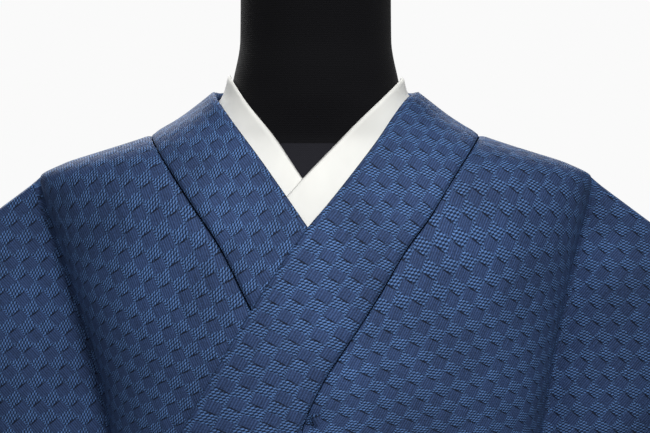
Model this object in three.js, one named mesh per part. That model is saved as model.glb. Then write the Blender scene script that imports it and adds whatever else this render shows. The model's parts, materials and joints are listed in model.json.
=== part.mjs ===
// A woman's unlined cotton kimono, closed left over right on a limbless dress form with a round stand.
// Millimetres. +Z is up, the front faces -Y, and the wearer's left is +X.
// The origin is the centre of the stand's underside.
//
// Every piece of cloth is one sheet: a grid of points on its middle surface, given a wall along the normals.
// Depths are measured down from the shoulder point, where the collar seam crosses the top of the shoulder.
import * as THREE from "three";

// ---- driving dimensions ----
const SHOULDER_HEIGHT = 1400; // the shoulder point above the floor
const HEM_DEPTH = 1330; // shoulder point to hem
const CLOTH_WALL = 1.4;
const COLLAR_WALL = 3; // the collar is the cloth folded on itself round its seam allowances
const UNDERCOLLAR_WALL = 1.2;
const SEAM_GAP = 0.3;
const FRONT_LIFT = 4.8; // how far the left front lies over the right front
const COLLAR_LIFT = 0.9; // the collar's middle surface stands out from the panel's
const ARMHOLE = 230; // sleeve sewn to the body, down from the shoulder fold
const SIDE_SLIT = 140; // open side below the armhole
const SLEEVE_DROP = 490;
const CUFF_OPENING = 230;
const COLLAR_END_DEPTH = 650; // where the collar ends on the overlap's edge
const ROUNDNESS = 2.25; // exponent of the body's superellipse sections
const TIP_DEPTH = 31; // the shoulder tip below the shoulder point
const ARMHOLE_TOP = { x: 290, d: 100 }; // the sleeve seam's top end
const ARMHOLE_FOOT = { x: 204, d: 313 };
const SLIT_FOOT = { x: 155, y: -45, d: 447 }; // where the side seam begins
const CUFF_TOP = { x: 446, d: 364 };
const CUFF_FOOT = { x: 380, d: 848 };
const SLEEVE_INNER_FOOT = { x: 196, d: 573 };
const VALLEY_INSET = 4; // how far the armpit crease lies in front of the shoulder line
const WING_BULGE = 10;
const ARMHOLE_INSET = 10; // half the space between the sleeve's layers at its seam

// ---- section tables ----
// The cloth's body: half width, and how far it reaches to the front and the back, at each depth.
const BODY_SECTIONS = [
  { d: -30, half: 71, front: 62, back: 66 },
  { d: -14, half: 90, front: 62, back: 70 },
  { d: 0, half: 114, front: 64, back: 78 },
  { d: 8, half: 134, front: 68, back: 92 },
  { d: 16, half: 155, front: 72, back: 101 },
  { d: 24, half: 177, front: 76, back: 105 },
  { d: 31, half: 193, front: 80, back: 106 },
  { d: 45, half: 191, front: 87, back: 108 },
  { d: 75, half: 184, front: 98, back: 110 },
  { d: 120, half: 174, front: 108, back: 113 },
  { d: 192, half: 162, front: 118, back: 115 },
  { d: 250, half: 157, front: 122, back: 116 },
  { d: 330, half: 156, front: 124, back: 116 },
  { d: 447, half: 160, front: 125, back: 118 },
  { d: 600, half: 166, front: 129, back: 125 },
  { d: 900, half: 172, front: 134, back: 131 },
  { d: 1330, half: 178, front: 140, back: 136 },
];
// How much nearer the middle the right armpit crease lies.
const RIGHT_NARROWING = [
  { d: 31, by: 0 },
  { d: 120, by: 8 },
  { d: 200, by: 15 },
  { d: 300, by: 11 },
  { d: 447, by: 0 },
];
const FORM_SECTIONS = [
  { d: -122, half: 50, front: 53, back: 56 },
  { d: -118, half: 54, front: 57, back: 60 },
  { d: -68, half: 54.5, front: 58, back: 61 },
  { d: -40, half: 59.4, front: 61, back: 65 },
  { d: -28, half: 62.5, front: 61, back: 67 },
  { d: -11, half: 78, front: 58, back: 72 },
  { d: 3.2, half: 108, front: 56, back: 78 },
  { d: 12.4, half: 138, front: 59, back: 84 },
  { d: 21.2, half: 166, front: 64, back: 90 },
  { d: 28.2, half: 182, front: 69, back: 93 },
  { d: 40, half: 188, front: 76, back: 97 },
  { d: 60, half: 182.5, front: 85, back: 101 },
  { d: 90, half: 170, front: 94, back: 105 },
  { d: 130, half: 152, front: 101, back: 107 },
  { d: 200, half: 134, front: 109, back: 106 },
  { d: 250, half: 132, front: 112, back: 102 },
  { d: 330, half: 124, front: 102, back: 94 },
  { d: 400, half: 120, front: 94, back: 92 },
  { d: 480, half: 134, front: 98, back: 104 },
  { d: 560, half: 147, front: 103, back: 114 },
  { d: 620, half: 148, front: 102, back: 113 },
  { d: 640, half: 142, front: 97, back: 108 },
];
// The front opening on each side, in its own side's x: the collar's two edges from the shoulder to the collar end.
const LEFT_OUTER = [
  { d: 0, x: 114 },
  { d: 30, x: 97 },
  { d: 62, x: 78 },
  { d: 82, x: 63 },
  { d: 113, x: 44.5 },
  { d: 149, x: 21 },
  { d: 169, x: 7.4 },
  { d: 192, x: -4 },
  { d: 225, x: -21 },
  { d: 270, x: -46 },
  { d: 340, x: -74 },
  { d: 430, x: -92 },
  { d: 530, x: -98 },
  { d: 650, x: -100 },
];
const LEFT_INNER = [
  { d: -29.5, x: 70.5 },
  { d: -25, x: 65.5 },
  { d: 9.5, x: 41 },
  { d: 52.6, x: 7.4 },
  { d: 67.6, x: -5.5 },
  { d: 95, x: -25 },
  { d: 124, x: -44 },
  { d: 166, x: -68.5 },
  { d: 209, x: -92.5 },
  { d: 262, x: -116 },
  { d: 330, x: -129 },
  { d: 430, x: -141 },
  { d: 530, x: -149 },
  { d: 650, x: -153 },
];
const RIGHT_OUTER = [
  { d: 0, x: 114 },
  { d: 16, x: 105 },
  { d: 51, x: 85 },
  { d: 81, x: 65.6 },
  { d: 124, x: 43.8 },
  { d: 165, x: 20 },
  { d: 205, x: 0 },
  { d: 240, x: -19 },
  { d: 280, x: -42 },
  { d: 340, x: -68 },
  { d: 430, x: -88 },
  { d: 530, x: -95 },
  { d: 650, x: -97 },
];
const RIGHT_INNER = [
  { d: -29.5, x: 71 },
  { d: -24, x: 68.7 },
  { d: 23.5, x: 35.8 },
  { d: 67.6, x: 5 },
  { d: 95, x: -14 },
  { d: 124, x: -33 },
  { d: 166, x: -58 },
  { d: 209, x: -82 },
  { d: 262, x: -103 },
  { d: 330, x: -116 },
  { d: 430, x: -127 },
  { d: 530, x: -139 },
  { d: 650, x: -142 },
];
// How much higher than its seam edge the collar's folded edge lies, straight across the band.
const COLLAR_SKEW = [
  { d: 0, by: 29.5 },
  { d: 60, by: 36 },
  { d: 150, by: 33 },
  { d: 230, by: 25 },
  { d: 330, by: 11 },
  { d: 430, by: 5 },
  { d: 650, by: 0 },
];
// The seam between each front and its overlap panel starts on the collar and drifts across from there.
const OVERLAP_POINT = 230; // down the panel from the shoulder fold
const OVERLAP_DRIFT = [
  { d: 200, by: 0 },
  { d: 330, by: -15 },
  { d: 447, by: -25 },
  { d: 600, by: -32 },
  { d: 1330, by: -35 },
];
// The free edge of each overlap below the collar end.
const OVERLAP_EDGE = [
  { d: 650, left: -153.5, right: -142.5 },
  { d: 900, left: -158, right: -146 },
  { d: 1330, left: -162, right: -150 },
];
// The back neckline, from the shoulder round to the centre back, for a share of the way.
const BACK_NECKLINE = [
  { share: 0, x: 114, d: 0 },
  { share: 0.35, x: 98, d: 4 },
  { share: 0.7, x: 62, d: 12 },
  { share: 1, x: 0, d: 17 },
];
// The collar's folded edge behind the shoulder, from the shoulder round to the centre back.
const COLLAR_BACK = [
  { share: 0, x: 70.8, y: 0, d: -29.5 },
  { share: 0.15, x: 70.5, y: 20, d: -30 },
  { share: 0.28, x: 68, y: 38, d: -31 },
  { share: 0.45, x: 60.5, y: 62, d: -33 },
  { share: 0.68, x: 42, y: 90, d: -35 },
  { share: 0.84, x: 22, y: 103, d: -36 },
  { share: 1, x: 0, y: 107, d: -36 },
];
// The undercollar behind the shoulder: its lower and its upper edge.
const UNDERCOLLAR_BACK = [
  { share: 0, ox: 82, oy: 0, od: -12.5, ix: 62.2, iy: 0, id: -39.5 },
  { share: 0.15, ox: 83, oy: 20, od: -10.5, ix: 61.6, iy: 16, id: -38 },
  { share: 0.3, ox: 82, oy: 40, od: -8, ix: 60.5, iy: 34, id: -35.5 },
  { share: 0.5, ox: 70, oy: 70, od: -3, ix: 53, iy: 63, id: -34.5 },
  { share: 0.75, ox: 38, oy: 92, od: 0, ix: 34, iy: 91, id: -35 },
  { share: 1, ox: 0, oy: 99, od: 2, ix: 0, iy: 102.5, id: -35 },
];
const LEFT_UNDER_INNER = [
  { d: -39, x: 60.5 },
  { d: -36, x: 57 },
  { d: -1, x: 23.5 },
  { d: 33.4, x: -9 },
  { d: 45, x: -19 },
  { d: 78, x: -44 },
];
const LEFT_UNDER_OUTER = [
  { d: -12, x: 79 },
  { d: 12, x: 62 },
  { d: 50, x: 28 },
  { d: 76, x: 8 },
  { d: 100, x: -12 },
  { d: 118, x: -28 },
];
const RIGHT_UNDER_INNER = [
  { d: -39, x: 60.5 },
  { d: -22, x: 48.6 },
  { d: 5, x: 27.7 },
  { d: 33.4, x: 9 },
  { d: 52, x: -5 },
  { d: 78, x: -22 },
];
const RIGHT_UNDER_OUTER = [
  { d: -12, x: 79 },
  { d: 20, x: 60 },
  { d: 50, x: 40 },
  { d: 76, x: 20 },
  { d: 100, x: 4 },
  { d: 118, x: -8 },
];
// Rows down each panel from the shoulder fold, and columns across it.
const PANEL_ROWS = [
  0, 0.8, 2.6, 6, 12, 21, 34, 48, 62, 76, 108, 146, 188, 230, 234, 262, 318, 370, 440, 540, 680, 860, 1080, 1300,
];
const TORSO_COLUMNS = 9;
const WING_COLUMNS = 5;
const OVERLAP_COLUMNS = 6;
const COLLAR_END_STEP = [0.3, 0.6, 0.9]; // below the collar's end the overlap widens by the collar's width
const SLEEVE_COLUMNS = 8;
const SLEEVE_ROWS = [0, 1.5, 5, 11, 22, 50, 100, 160, 205, 224, 230, 260, 320, 385, 440, 472, 485, 490];
const COLLAR_COLUMNS = 4;
const UNDERCOLLAR_COLUMNS = 4;
const UNDERCOLLAR_ROWS = 15;

// ---- small tools ----
const clamp = (t) => Math.min(1, Math.max(0, t));
const smooth = (t) => clamp(t) ** 2 * (3 - 2 * clamp(t));
const mix = (a, b, t) => a + (b - a) * t;
const rounded = (t) => Math.sqrt(1 - (1 - clamp(t)) ** 2); // a quarter circle from 0 to 1

// A smooth curve through a table's rows that never overshoots them.
function through(rows, key, value) {
  const xs = rows.map((r) => r[key]);
  const ys = rows.map((r) => r[value]);
  const slopes = xs.slice(1).map((x, i) => (ys[i + 1] - ys[i]) / (x - xs[i]));
  const tangents = xs.map((x, i) => {
    const [before, after] = [slopes[i - 1], slopes[i]];
    if (before === undefined) return after;
    if (after === undefined) return before;
    return before * after <= 0 ? 0 : (2 * before * after) / (before + after);
  });
  return (x) => {
    if (x <= xs[0]) return ys[0];
    if (x >= xs[xs.length - 1]) return ys[ys.length - 1];
    const i = xs.findIndex((next) => next > x) - 1;
    const span = xs[i + 1] - xs[i];
    const t = (x - xs[i]) / span;
    return (
      ys[i] * (1 + 2 * t) * (1 - t) ** 2 +
      tangents[i] * span * t * (1 - t) ** 2 +
      ys[i + 1] * t * t * (3 - 2 * t) +
      tangents[i + 1] * span * t * t * (t - 1)
    );
  };
}

const point = (x, y, d) => new THREE.Vector3(x, y, SHOULDER_HEIGHT - d);

// A closed sheet: the grid's middle surface with half the wall on each side.
function sheet(name, grid, wall, material) {
  const rows = grid.length;
  const columns = grid[0].length;
  const step = (a, b) => new THREE.Vector3().subVectors(b, a);
  const normal = (r, c) => {
    if (grid[r][c].facing) return grid[r][c].facing;
    const down = step(grid[Math.max(0, r - 1)][c], grid[Math.min(rows - 1, r + 1)][c]);
    const across = step(grid[r][Math.max(0, c - 1)], grid[r][Math.min(columns - 1, c + 1)]);
    return across.cross(down).normalize();
  };
  const positions = [];
  for (const side of [0.5, -0.5])
    grid.forEach((line, r) =>
      line.forEach((p, c) => positions.push(...p.clone().addScaledVector(normal(r, c), side * wall).toArray())),
    );
  const at = (layer, r, c) => layer * rows * columns + r * columns + c;
  const index = [];
  const quad = (a, b, c, d) => index.push(a, b, c, a, c, d);
  for (let r = 0; r < rows - 1; r++)
    for (let c = 0; c < columns - 1; c++) {
      quad(at(0, r, c), at(0, r, c + 1), at(0, r + 1, c + 1), at(0, r + 1, c));
      quad(at(1, r, c), at(1, r + 1, c), at(1, r + 1, c + 1), at(1, r, c + 1));
    }
  for (let r = 0; r < rows - 1; r++) {
    quad(at(0, r, 0), at(0, r + 1, 0), at(1, r + 1, 0), at(1, r, 0));
    quad(at(0, r, columns - 1), at(1, r, columns - 1), at(1, r + 1, columns - 1), at(0, r + 1, columns - 1));
  }
  for (let c = 0; c < columns - 1; c++) {
    quad(at(0, 0, c), at(1, 0, c), at(1, 0, c + 1), at(0, 0, c + 1));
    quad(at(0, rows - 1, c), at(0, rows - 1, c + 1), at(1, rows - 1, c + 1), at(1, rows - 1, c));
  }
  // The quads above face out where the normal does; a grid whose normals point in is turned round.
  const geometry = new THREE.BufferGeometry();
  geometry.setAttribute("position", new THREE.Float32BufferAttribute(positions, 3));
  geometry.setIndex(index);
  if (volumeOf(positions, index) < 0) geometry.setIndex(flipped(index));
  geometry.computeVertexNormals();
  const mesh = new THREE.Mesh(geometry, material);
  mesh.name = name;
  return mesh;
}

function volumeOf(positions, index) {
  const at = (i) => new THREE.Vector3().fromArray(positions, 3 * i);
  let sum = 0;
  for (let i = 0; i < index.length; i += 3) sum += at(index[i]).dot(at(index[i + 1]).cross(at(index[i + 2])));
  return sum / 6;
}

const flipped = (index) => index.map((v, i) => index[i - (i % 3) + [0, 2, 1][i % 3]]);

// ---- the body of the cloth ----
const sectionAt = {
  half: through(BODY_SECTIONS, "d", "half"),
  front: through(BODY_SECTIONS, "d", "front"),
  back: through(BODY_SECTIONS, "d", "back"),
};
const narrowing = through(RIGHT_NARROWING, "d", "by");
const halfWidth = (side, d) => sectionAt.half(d) - (side < 0 ? narrowing(d) : 0);

// A point of a superellipse ring: angle 0 is the front's middle and a half turn the back's.
function onRing(half, front, back, angle, inset = 0) {
  const facing = Math.sign(Math.cos(angle));
  const across = Math.sign(angle) * Math.abs(Math.sin(angle)) ** (2 / ROUNDNESS);
  const out = facing * Math.abs(Math.cos(angle)) ** (2 / ROUNDNESS);
  return { x: half * across, y: -((facing > 0 ? front : back) - inset) * out - facing * inset };
}
const ringAngle = (x, half) => Math.sign(x) * Math.asin(Math.min(1, Math.abs(x) / half) ** (ROUNDNESS / 2));

// A point of the body's section in the panel's own x, which is positive towards its own side.
function onSection(side, d, angle, lift, inset = 0) {
  const half = halfWidth(side * (angle < 0 ? -1 : 1), d) + lift;
  return { ...onRing(half, sectionAt.front(d) + lift, sectionAt.back(d) + lift, angle, inset), d };
}
const angleOf = (side, x, d, lift = 0) => ringAngle(x, halfWidth(side * (x < 0 ? -1 : 1), d) + lift);

// A point lying on the front of the body at a given x, with the way the body faces there.
function laidOn(side, x, d, lift) {
  const at = (dx, dd) => {
    const p = onSection(side, d + dd, angleOf(side, x + dx, d + dd, lift), lift);
    return point(side * p.x, p.y, p.d);
  };
  const across = at(0.5, 0).sub(at(-0.5, 0));
  const down = at(0, 0.5).sub(at(0, -0.5));
  return Object.assign(at(0, 0), { facing: across.cross(down).multiplyScalar(side).normalize() });
}

// The left front lies over the right by this much; the lift fades out towards the shoulder and the armpit.
const frontLift = (side, v, angle) =>
  side < 0 ? 0 : FRONT_LIFT * smooth(v / 45) * mix(1 - smooth((angle - 0.95) / 0.5), 1, smooth((v - 230) / 130));

const outerEdge = { 1: through(LEFT_OUTER, "d", "x"), "-1": through(RIGHT_OUTER, "d", "x") };
const innerEdge = { 1: through(LEFT_INNER, "d", "x"), "-1": through(RIGHT_INNER, "d", "x") };
const overlapDrift = through(OVERLAP_DRIFT, "d", "by");
const overlapEdge = { 1: through(OVERLAP_EDGE, "d", "left"), "-1": through(OVERLAP_EDGE, "d", "right") };
const collarSkew = through(COLLAR_SKEW, "d", "by");

const ROW_END = PANEL_ROWS[PANEL_ROWS.length - 1];
const frontInnerDepth = (v) => (v < ARMHOLE ? v * 0.87 : mix(0.87 * ARMHOLE, HEM_DEPTH, (v - ARMHOLE) / (ROW_END - ARMHOLE)));
const seamX = (side, v) => {
  const start = frontInnerDepth(OVERLAP_POINT);
  return v <= OVERLAP_POINT ? outerEdge[side](frontInnerDepth(v)) : outerEdge[side](start) + overlapDrift(frontInnerDepth(v));
};
const NECKLINE_ROWS = 76; // rows down the back that the neckline takes
const necklineX = through(BACK_NECKLINE, "share", "x");
const necklineD = through(BACK_NECKLINE, "share", "d");
const backInnerDepth = (v) =>
  v < NECKLINE_ROWS ? necklineD(v / NECKLINE_ROWS) : mix(17, HEM_DEPTH, (v - NECKLINE_ROWS) / (ROW_END - NECKLINE_ROWS));
const creaseDepth = (v) => mix(TIP_DEPTH, HEM_DEPTH, v / ROW_END);

// The panel's outer edge: the armhole, the open slit and then the side seam.
function sideEdge(v, back) {
  const down = ARMHOLE + SIDE_SLIT;
  const inset = (back ? 1 : -1) * ARMHOLE_INSET * rounded(v / 12);
  if (v <= ARMHOLE) {
    const t = v / ARMHOLE;
    return { x: mix(ARMHOLE_TOP.x, ARMHOLE_FOOT.x, t), y: inset, d: mix(ARMHOLE_TOP.d, ARMHOLE_FOOT.d, t) };
  }
  const t = (v - ARMHOLE) / SIDE_SLIT;
  const foot = SLIT_FOOT.y + ((back ? 1 : -1) * SEAM_GAP) / 2;
  return {
    x: mix(ARMHOLE_FOOT.x, SLIT_FOOT.x, clamp(t)),
    y: mix(inset, foot, smooth(t)),
    d: t < 1 ? mix(ARMHOLE_FOOT.d, SLIT_FOOT.d, t) : mix(SLIT_FOOT.d, HEM_DEPTH, (v - down) / (ROW_END - down)),
  };
}

// A body panel's point: column from the middle to the side, v down from the shoulder fold, on the front or the back.
function bodyPoint(side, column, v, back) {
  const total = TORSO_COLUMNS + WING_COLUMNS;
  const low = smooth((v - 190) / 110);
  const half = Math.PI / 2;
  const innerD = back ? backInnerDepth(v) : frontInnerDepth(v);
  const innerX = back ? (v < NECKLINE_ROWS ? necklineX(v / NECKLINE_ROWS) : 0) : seamX(side, v);
  const innerAngle = angleOf(side, innerX, innerD, back ? 0 : frontLift(side, v, 0));
  const start = back ? Math.PI - innerAngle : innerAngle;
  const seamAngle = Math.acos((-SLIT_FOOT.y / sectionAt.front(SLIT_FOOT.d)) ** (ROUNDNESS / 2));
  const end = seamAngle + ((back ? 0.7 : -0.7) * SEAM_GAP) / 160;
  const crease = mix(half, mix(start, end, TORSO_COLUMNS / total), low);
  const inset = VALLEY_INSET * rounded(v / 12) * (1 - low);
  const onTorso = (share) => {
    const angle = mix(start, crease, share);
    const d = mix(innerD, creaseDepth(v), share);
    return onSection(side, d, angle, back ? 0 : frontLift(side, v, angle), inset);
  };
  if (column <= TORSO_COLUMNS) return onTorso(column / TORSO_COLUMNS);
  const w = (column - TORSO_COLUMNS) / WING_COLUMNS;
  const from = onTorso(1);
  const edge = sideEdge(v, back);
  const bulge = (back ? 1 : -1) * WING_BULGE * 4 * w * (1 - w) * smooth(v / 60);
  const wing = { x: mix(from.x, edge.x, w), y: mix(from.y, edge.y, w) + bulge, d: mix(from.d, edge.d, w) };
  const d = mix(creaseDepth(v), edge.d, w);
  const lift = back ? 0 : frontLift(side, v, 0) * (1 - smooth((w - 0.7) / 0.3));
  const ring = onSection(side, d, mix(crease, end, w), lift);
  const round = smooth((v - 190) / mix(110, 180, w));
  return { x: mix(wing.x, ring.x, round), y: mix(wing.y, ring.y, round), d };
}

function bodyPanel(name, side, material) {
  const lines = [...PANEL_ROWS.slice(1).reverse().map((v) => [v, false]), ...PANEL_ROWS.map((v) => [v, true])];
  const grid = lines.map(([v, back]) =>
    Array.from({ length: TORSO_COLUMNS + WING_COLUMNS + 1 }, (_, c) => {
      const p = bodyPoint(side, c, v, back);
      const nudge = c === 0 && back && v >= NECKLINE_ROWS ? SEAM_GAP / 2 : 0;
      return point(side * (p.x + nudge), p.y, p.d);
    }),
  );
  return sheet(name, grid, CLOTH_WALL, material);
}

// ---- overlap panels ----
function overlapPanel(name, side, material) {
  const toRow = (d) => mix(ARMHOLE, ROW_END, (d - frontInnerDepth(ARMHOLE)) / (HEM_DEPTH - frontInnerDepth(ARMHOLE)));
  const collarEnd = [...COLLAR_END_STEP, 12].map((by) => toRow(COLLAR_END_DEPTH + by));
  const rows = [...PANEL_ROWS.filter((v) => v > OVERLAP_POINT), ...collarEnd].sort((a, b) => a - b);
  const lift = side > 0 ? FRONT_LIFT : 0;
  const grid = rows.map((v) => {
    const d = frontInnerDepth(v);
    const inner = seamX(side, v) - SEAM_GAP * 1.5;
    const [from0, to0] = [COLLAR_END_STEP[0], COLLAR_END_STEP.at(-1)].map((by) => COLLAR_END_DEPTH + by);
    const beside = Math.min(inner - 1, outerEdge[side](d) + SEAM_GAP);
    const outer = mix(beside, overlapEdge[side](d), clamp((d - from0) / (to0 - from0)));
    const [from, to] = [inner, outer].map((x) => angleOf(side, x, d, lift));
    return Array.from({ length: OVERLAP_COLUMNS + 1 }, (_, c) => {
      const p = onSection(side, d, mix(from, to, c / OVERLAP_COLUMNS), lift);
      return laidOn(side, p.x, d, lift);
    });
  });
  return sheet(name, grid, CLOTH_WALL, material);
}

// ---- collars ----
// A band runs from the left front round the neck to the right front. Each row goes from its seam edge to its fold.
function band(name, halfRows, wall, material) {
  const [left, right] = [1, -1].map(halfRows);
  return sheet(name, [...left, ...right.slice(0, -1).reverse()], wall, material);
}

function collarHalf(side) {
  const shares = (from) => Array.from({ length: COLLAR_COLUMNS + 1 }, (_, c) => mix(from, 1, c / COLLAR_COLUMNS));
  const depths = [...PANEL_ROWS.map(frontInnerDepth).filter((d) => d < COLLAR_END_DEPTH - 10), COLLAR_END_DEPTH];
  const front = depths.map((od) => {
    const id = od - collarSkew(od);
    return shares(0.02).map((share) => {
      const x = mix(outerEdge[side](od), innerEdge[side](id), share);
      const d = mix(od, id, share);
      const lift = COLLAR_LIFT + (side > 0 ? FRONT_LIFT * smooth((d + 10) / 45) : 0);
      const p = onSection(side, d, angleOf(side, x, d, lift), lift);
      return point(side * p.x, p.y, p.d);
    });
  });
  const fold = Object.fromEntries(["x", "y", "d"].map((k) => [k, through(COLLAR_BACK, "share", k)]));
  const back = PANEL_ROWS.filter((v) => v > 0 && v <= NECKLINE_ROWS).map((v) => {
    const seam = bodyPoint(side, 0, v, true);
    return shares(0.03).map((share) => {
      const at = (k) => mix(seam[k], fold[k](v / NECKLINE_ROWS), share);
      return point(side * at("x"), at("y"), at("d"));
    });
  });
  return [...front.reverse(), ...back];
}

const formAt = {
  half: through(FORM_SECTIONS, "d", "half"),
  front: through(FORM_SECTIONS, "d", "front"),
  back: through(FORM_SECTIONS, "d", "back"),
};

function undercollarHalf(side) {
  const [outer, inner] = side > 0 ? [LEFT_UNDER_OUTER, LEFT_UNDER_INNER] : [RIGHT_UNDER_OUTER, RIGHT_UNDER_INNER];
  const [outerX, innerX] = [through(outer, "d", "x"), through(inner, "d", "x")];
  const shares = Array.from({ length: UNDERCOLLAR_COLUMNS + 1 }, (_, c) => c / UNDERCOLLAR_COLUMNS);
  const front = Array.from({ length: UNDERCOLLAR_ROWS }, (_, i) => {
    const t = ((UNDERCOLLAR_ROWS - i) / UNDERCOLLAR_ROWS) ** 1.7;
    const [od, id] = [mix(outer[0].d, outer.at(-1).d, t), mix(inner[0].d, inner.at(-1).d, t)];
    const [from, to] = [ringAngle(outerX(od), formAt.half(od) + 1), ringAngle(innerX(id), formAt.half(id) + 1)];
    return shares.map((share) => {
      const d = mix(od, id, share);
      const lift = 1.8 + 1.4 * (1 - t) ** 5 + (side > 0 ? 2 * smooth((d + 10) / 40) : 0);
      const p = onRing(...["half", "front", "back"].map((k) => formAt[k](d) + lift), mix(from, to, share));
      return point(side * p.x, p.y, d);
    });
  });
  const edge = Object.fromEntries(["ox", "oy", "od", "ix", "iy", "id"].map((k) => [k, through(UNDERCOLLAR_BACK, "share", k)]));
  const back = Array.from({ length: 9 }, (_, i) =>
    shares.map((share) => {
      const at = (o, n) => mix(edge[o](i / 8), edge[n](i / 8), share);
      const sag = 4 * share * (1 - share) * 5 * (1 - smooth(i / 5));
      return point(side * (at("ox", "ix") - sag * 0.8), at("oy", "iy"), at("od", "id") + sag * 0.5);
    }),
  );
  return [...front, ...back];
}

// ---- sleeves ----
// Front and back are one length of cloth, folded at the top.
function sleevePoint(w, v, back) {
  const t = v / SLEEVE_DROP;
  const sewn = sideEdge(Math.min(v, ARMHOLE), back);
  const below = clamp((v - ARMHOLE) / (SLEEVE_DROP - ARMHOLE));
  const inner = { x: mix(sewn.x, SLEEVE_INNER_FOOT.x, below), d: mix(sewn.d, SLEEVE_INNER_FOOT.d, below) };
  const bow = 4 * w * (1 - w);
  const top = { x: mix(ARMHOLE_TOP.x, CUFF_TOP.x, w) + 22 * bow, d: mix(ARMHOLE_TOP.d, CUFF_TOP.d, w) - 16 * bow };
  const foot = { x: mix(SLEEVE_INNER_FOOT.x, CUFF_FOOT.x, w), d: mix(SLEEVE_INNER_FOOT.d, CUFF_FOOT.d, w) + 12 * bow };
  const cuff = { x: mix(CUFF_TOP.x, CUFF_FOOT.x, t), d: mix(CUFF_TOP.d, CUFF_FOOT.d, t) };
  const coons = (k) =>
    mix(inner[k], cuff[k], w) +
    mix(top[k], foot[k], t) -
    mix(mix(ARMHOLE_TOP[k], CUFF_TOP[k], w), mix(SLEEVE_INNER_FOOT[k], CUFF_FOOT[k], w), t);
  const closed = (CLOTH_WALL + SEAM_GAP) / 2 + 0.1;
  const full = mix(ARMHOLE_INSET, 20, smooth(w * 2.2)) * rounded(v / 16);
  const atFoot = smooth((SLEEVE_DROP - v) / 40);
  const pinch = Math.sqrt(1 - clamp(v / CUFF_OPENING) ** 5);
  const atCuff = mix(1, pinch, smooth(w * 4 - 3));
  const space = Math.max(closed * rounded(v / 3), full * atFoot * atCuff);
  const fold = 5 * Math.sin(Math.PI * (2.6 * w + 0.35 * t)) * smooth(w * 2.5) * smooth((1 - w) * 4) * smooth(t * 2.2);
  return { x: coons("x"), y: (back ? 1 : -1) * space + fold, d: coons("d") };
}

function sleeve(name, side, material) {
  const lines = [...SLEEVE_ROWS.slice(1).reverse().map((v) => [v, false]), ...SLEEVE_ROWS.map((v) => [v, true])];
  const grid = lines.map(([v, back]) =>
    Array.from({ length: SLEEVE_COLUMNS + 1 }, (_, c) => {
      const p = sleevePoint(c / SLEEVE_COLUMNS, v, back);
      return point(side * (p.x + SEAM_GAP * 2), p.y, p.d - SEAM_GAP);
    }),
  );
  return sheet(name, grid, CLOTH_WALL, material);
}

// ---- dress form and stand ----
const FORM_SIDES = 40;
const FORM_RINGS = [
  -122, -118, -80, -54, -42, -34, -28, -22, -16, -11, -5, -1, 3.2, 8, 12.4, 17, 21.2, 25, 28.2, 33, 40, 50, 65, 90, 120,
  160, 200, 250, 290, 330, 365, 400, 440, 500, 560, 620, 640,
];
const POLE_RADIUS = 15;
const BASE_RADIUS = 180;
const BASE_THICKNESS = 14;

function dressForm(name, material) {
  const rings = FORM_RINGS.map((d) =>
    Array.from({ length: FORM_SIDES }, (_, i) => {
      const p = onRing(formAt.half(d), formAt.front(d), formAt.back(d), 2 * Math.PI * (i / FORM_SIDES - 0.5));
      return point(p.x, p.y, d);
    }),
  );
  const positions = rings.flat().flatMap((p) => p.toArray());
  const [top, foot] = [rings.length * FORM_SIDES, rings.length * FORM_SIDES + 1];
  positions.push(0, 0, SHOULDER_HEIGHT - FORM_SECTIONS[0].d, 0, 0, SHOULDER_HEIGHT - FORM_SECTIONS.at(-1).d);
  const index = [];
  for (let i = 0; i < FORM_SIDES; i++) {
    const next = (i + 1) % FORM_SIDES;
    for (let r = 0; r < rings.length - 1; r++) {
      const [a, b] = [r * FORM_SIDES, (r + 1) * FORM_SIDES];
      index.push(a + i, b + i, b + next, a + i, b + next, a + next);
    }
    index.push(top, i, next);
    index.push(foot, (rings.length - 1) * FORM_SIDES + next, (rings.length - 1) * FORM_SIDES + i);
  }
  const geometry = new THREE.BufferGeometry();
  geometry.setAttribute("position", new THREE.Float32BufferAttribute(positions, 3));
  geometry.setIndex(volumeOf(positions, index) < 0 ? flipped(index) : index);
  geometry.computeVertexNormals();
  const mesh = new THREE.Mesh(geometry, material);
  mesh.name = name;
  return mesh;
}

function turned(name, profile, sides, material) {
  const geometry = new THREE.LatheGeometry(profile.map(([r, z]) => new THREE.Vector2(r, z)), sides);
  const mesh = new THREE.Mesh(geometry.rotateX(Math.PI / 2), material);
  mesh.name = name;
  return mesh;
}

// ---- materials ----
const finish = (color, roughness, metalness = 0) => new THREE.MeshStandardMaterial({ color, roughness, metalness });
const indigo = finish("#2f4a7a", 0.85);
const white = finish("#f1f0ec", 0.8);
const black = finish("#17171a", 0.75);
const steel = finish("#2a2a2c", 0.4, 0.6);

// ---- the object ----
const kimono = new THREE.Group();
kimono.add(
  bodyPanel("body_left", 1, indigo),
  bodyPanel("body_right", -1, indigo),
  overlapPanel("overlap_left", 1, indigo),
  overlapPanel("overlap_right", -1, indigo),
  band("collar", collarHalf, COLLAR_WALL, indigo),
  band("undercollar", undercollarHalf, UNDERCOLLAR_WALL, white),
  sleeve("sleeve_left", 1, indigo),
  sleeve("sleeve_right", -1, indigo),
);

const stand = new THREE.Group();
const formFoot = SHOULDER_HEIGHT - FORM_SECTIONS.at(-1).d;
stand.add(
  dressForm("form_torso", black),
  turned(
    "stand_pole",
    [
      [0, BASE_THICKNESS + SEAM_GAP],
      [POLE_RADIUS, BASE_THICKNESS + SEAM_GAP],
      [POLE_RADIUS, formFoot - SEAM_GAP],
      [0, formFoot - SEAM_GAP],
    ],
    32,
    steel,
  ),
  turned(
    "stand_base",
    [
      [0, 0],
      [BASE_RADIUS, 0],
      [BASE_RADIUS, BASE_THICKNESS - 4],
      [BASE_RADIUS - 4, BASE_THICKNESS],
      [0, BASE_THICKNESS],
    ],
    64,
    steel,
  ),
);

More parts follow.
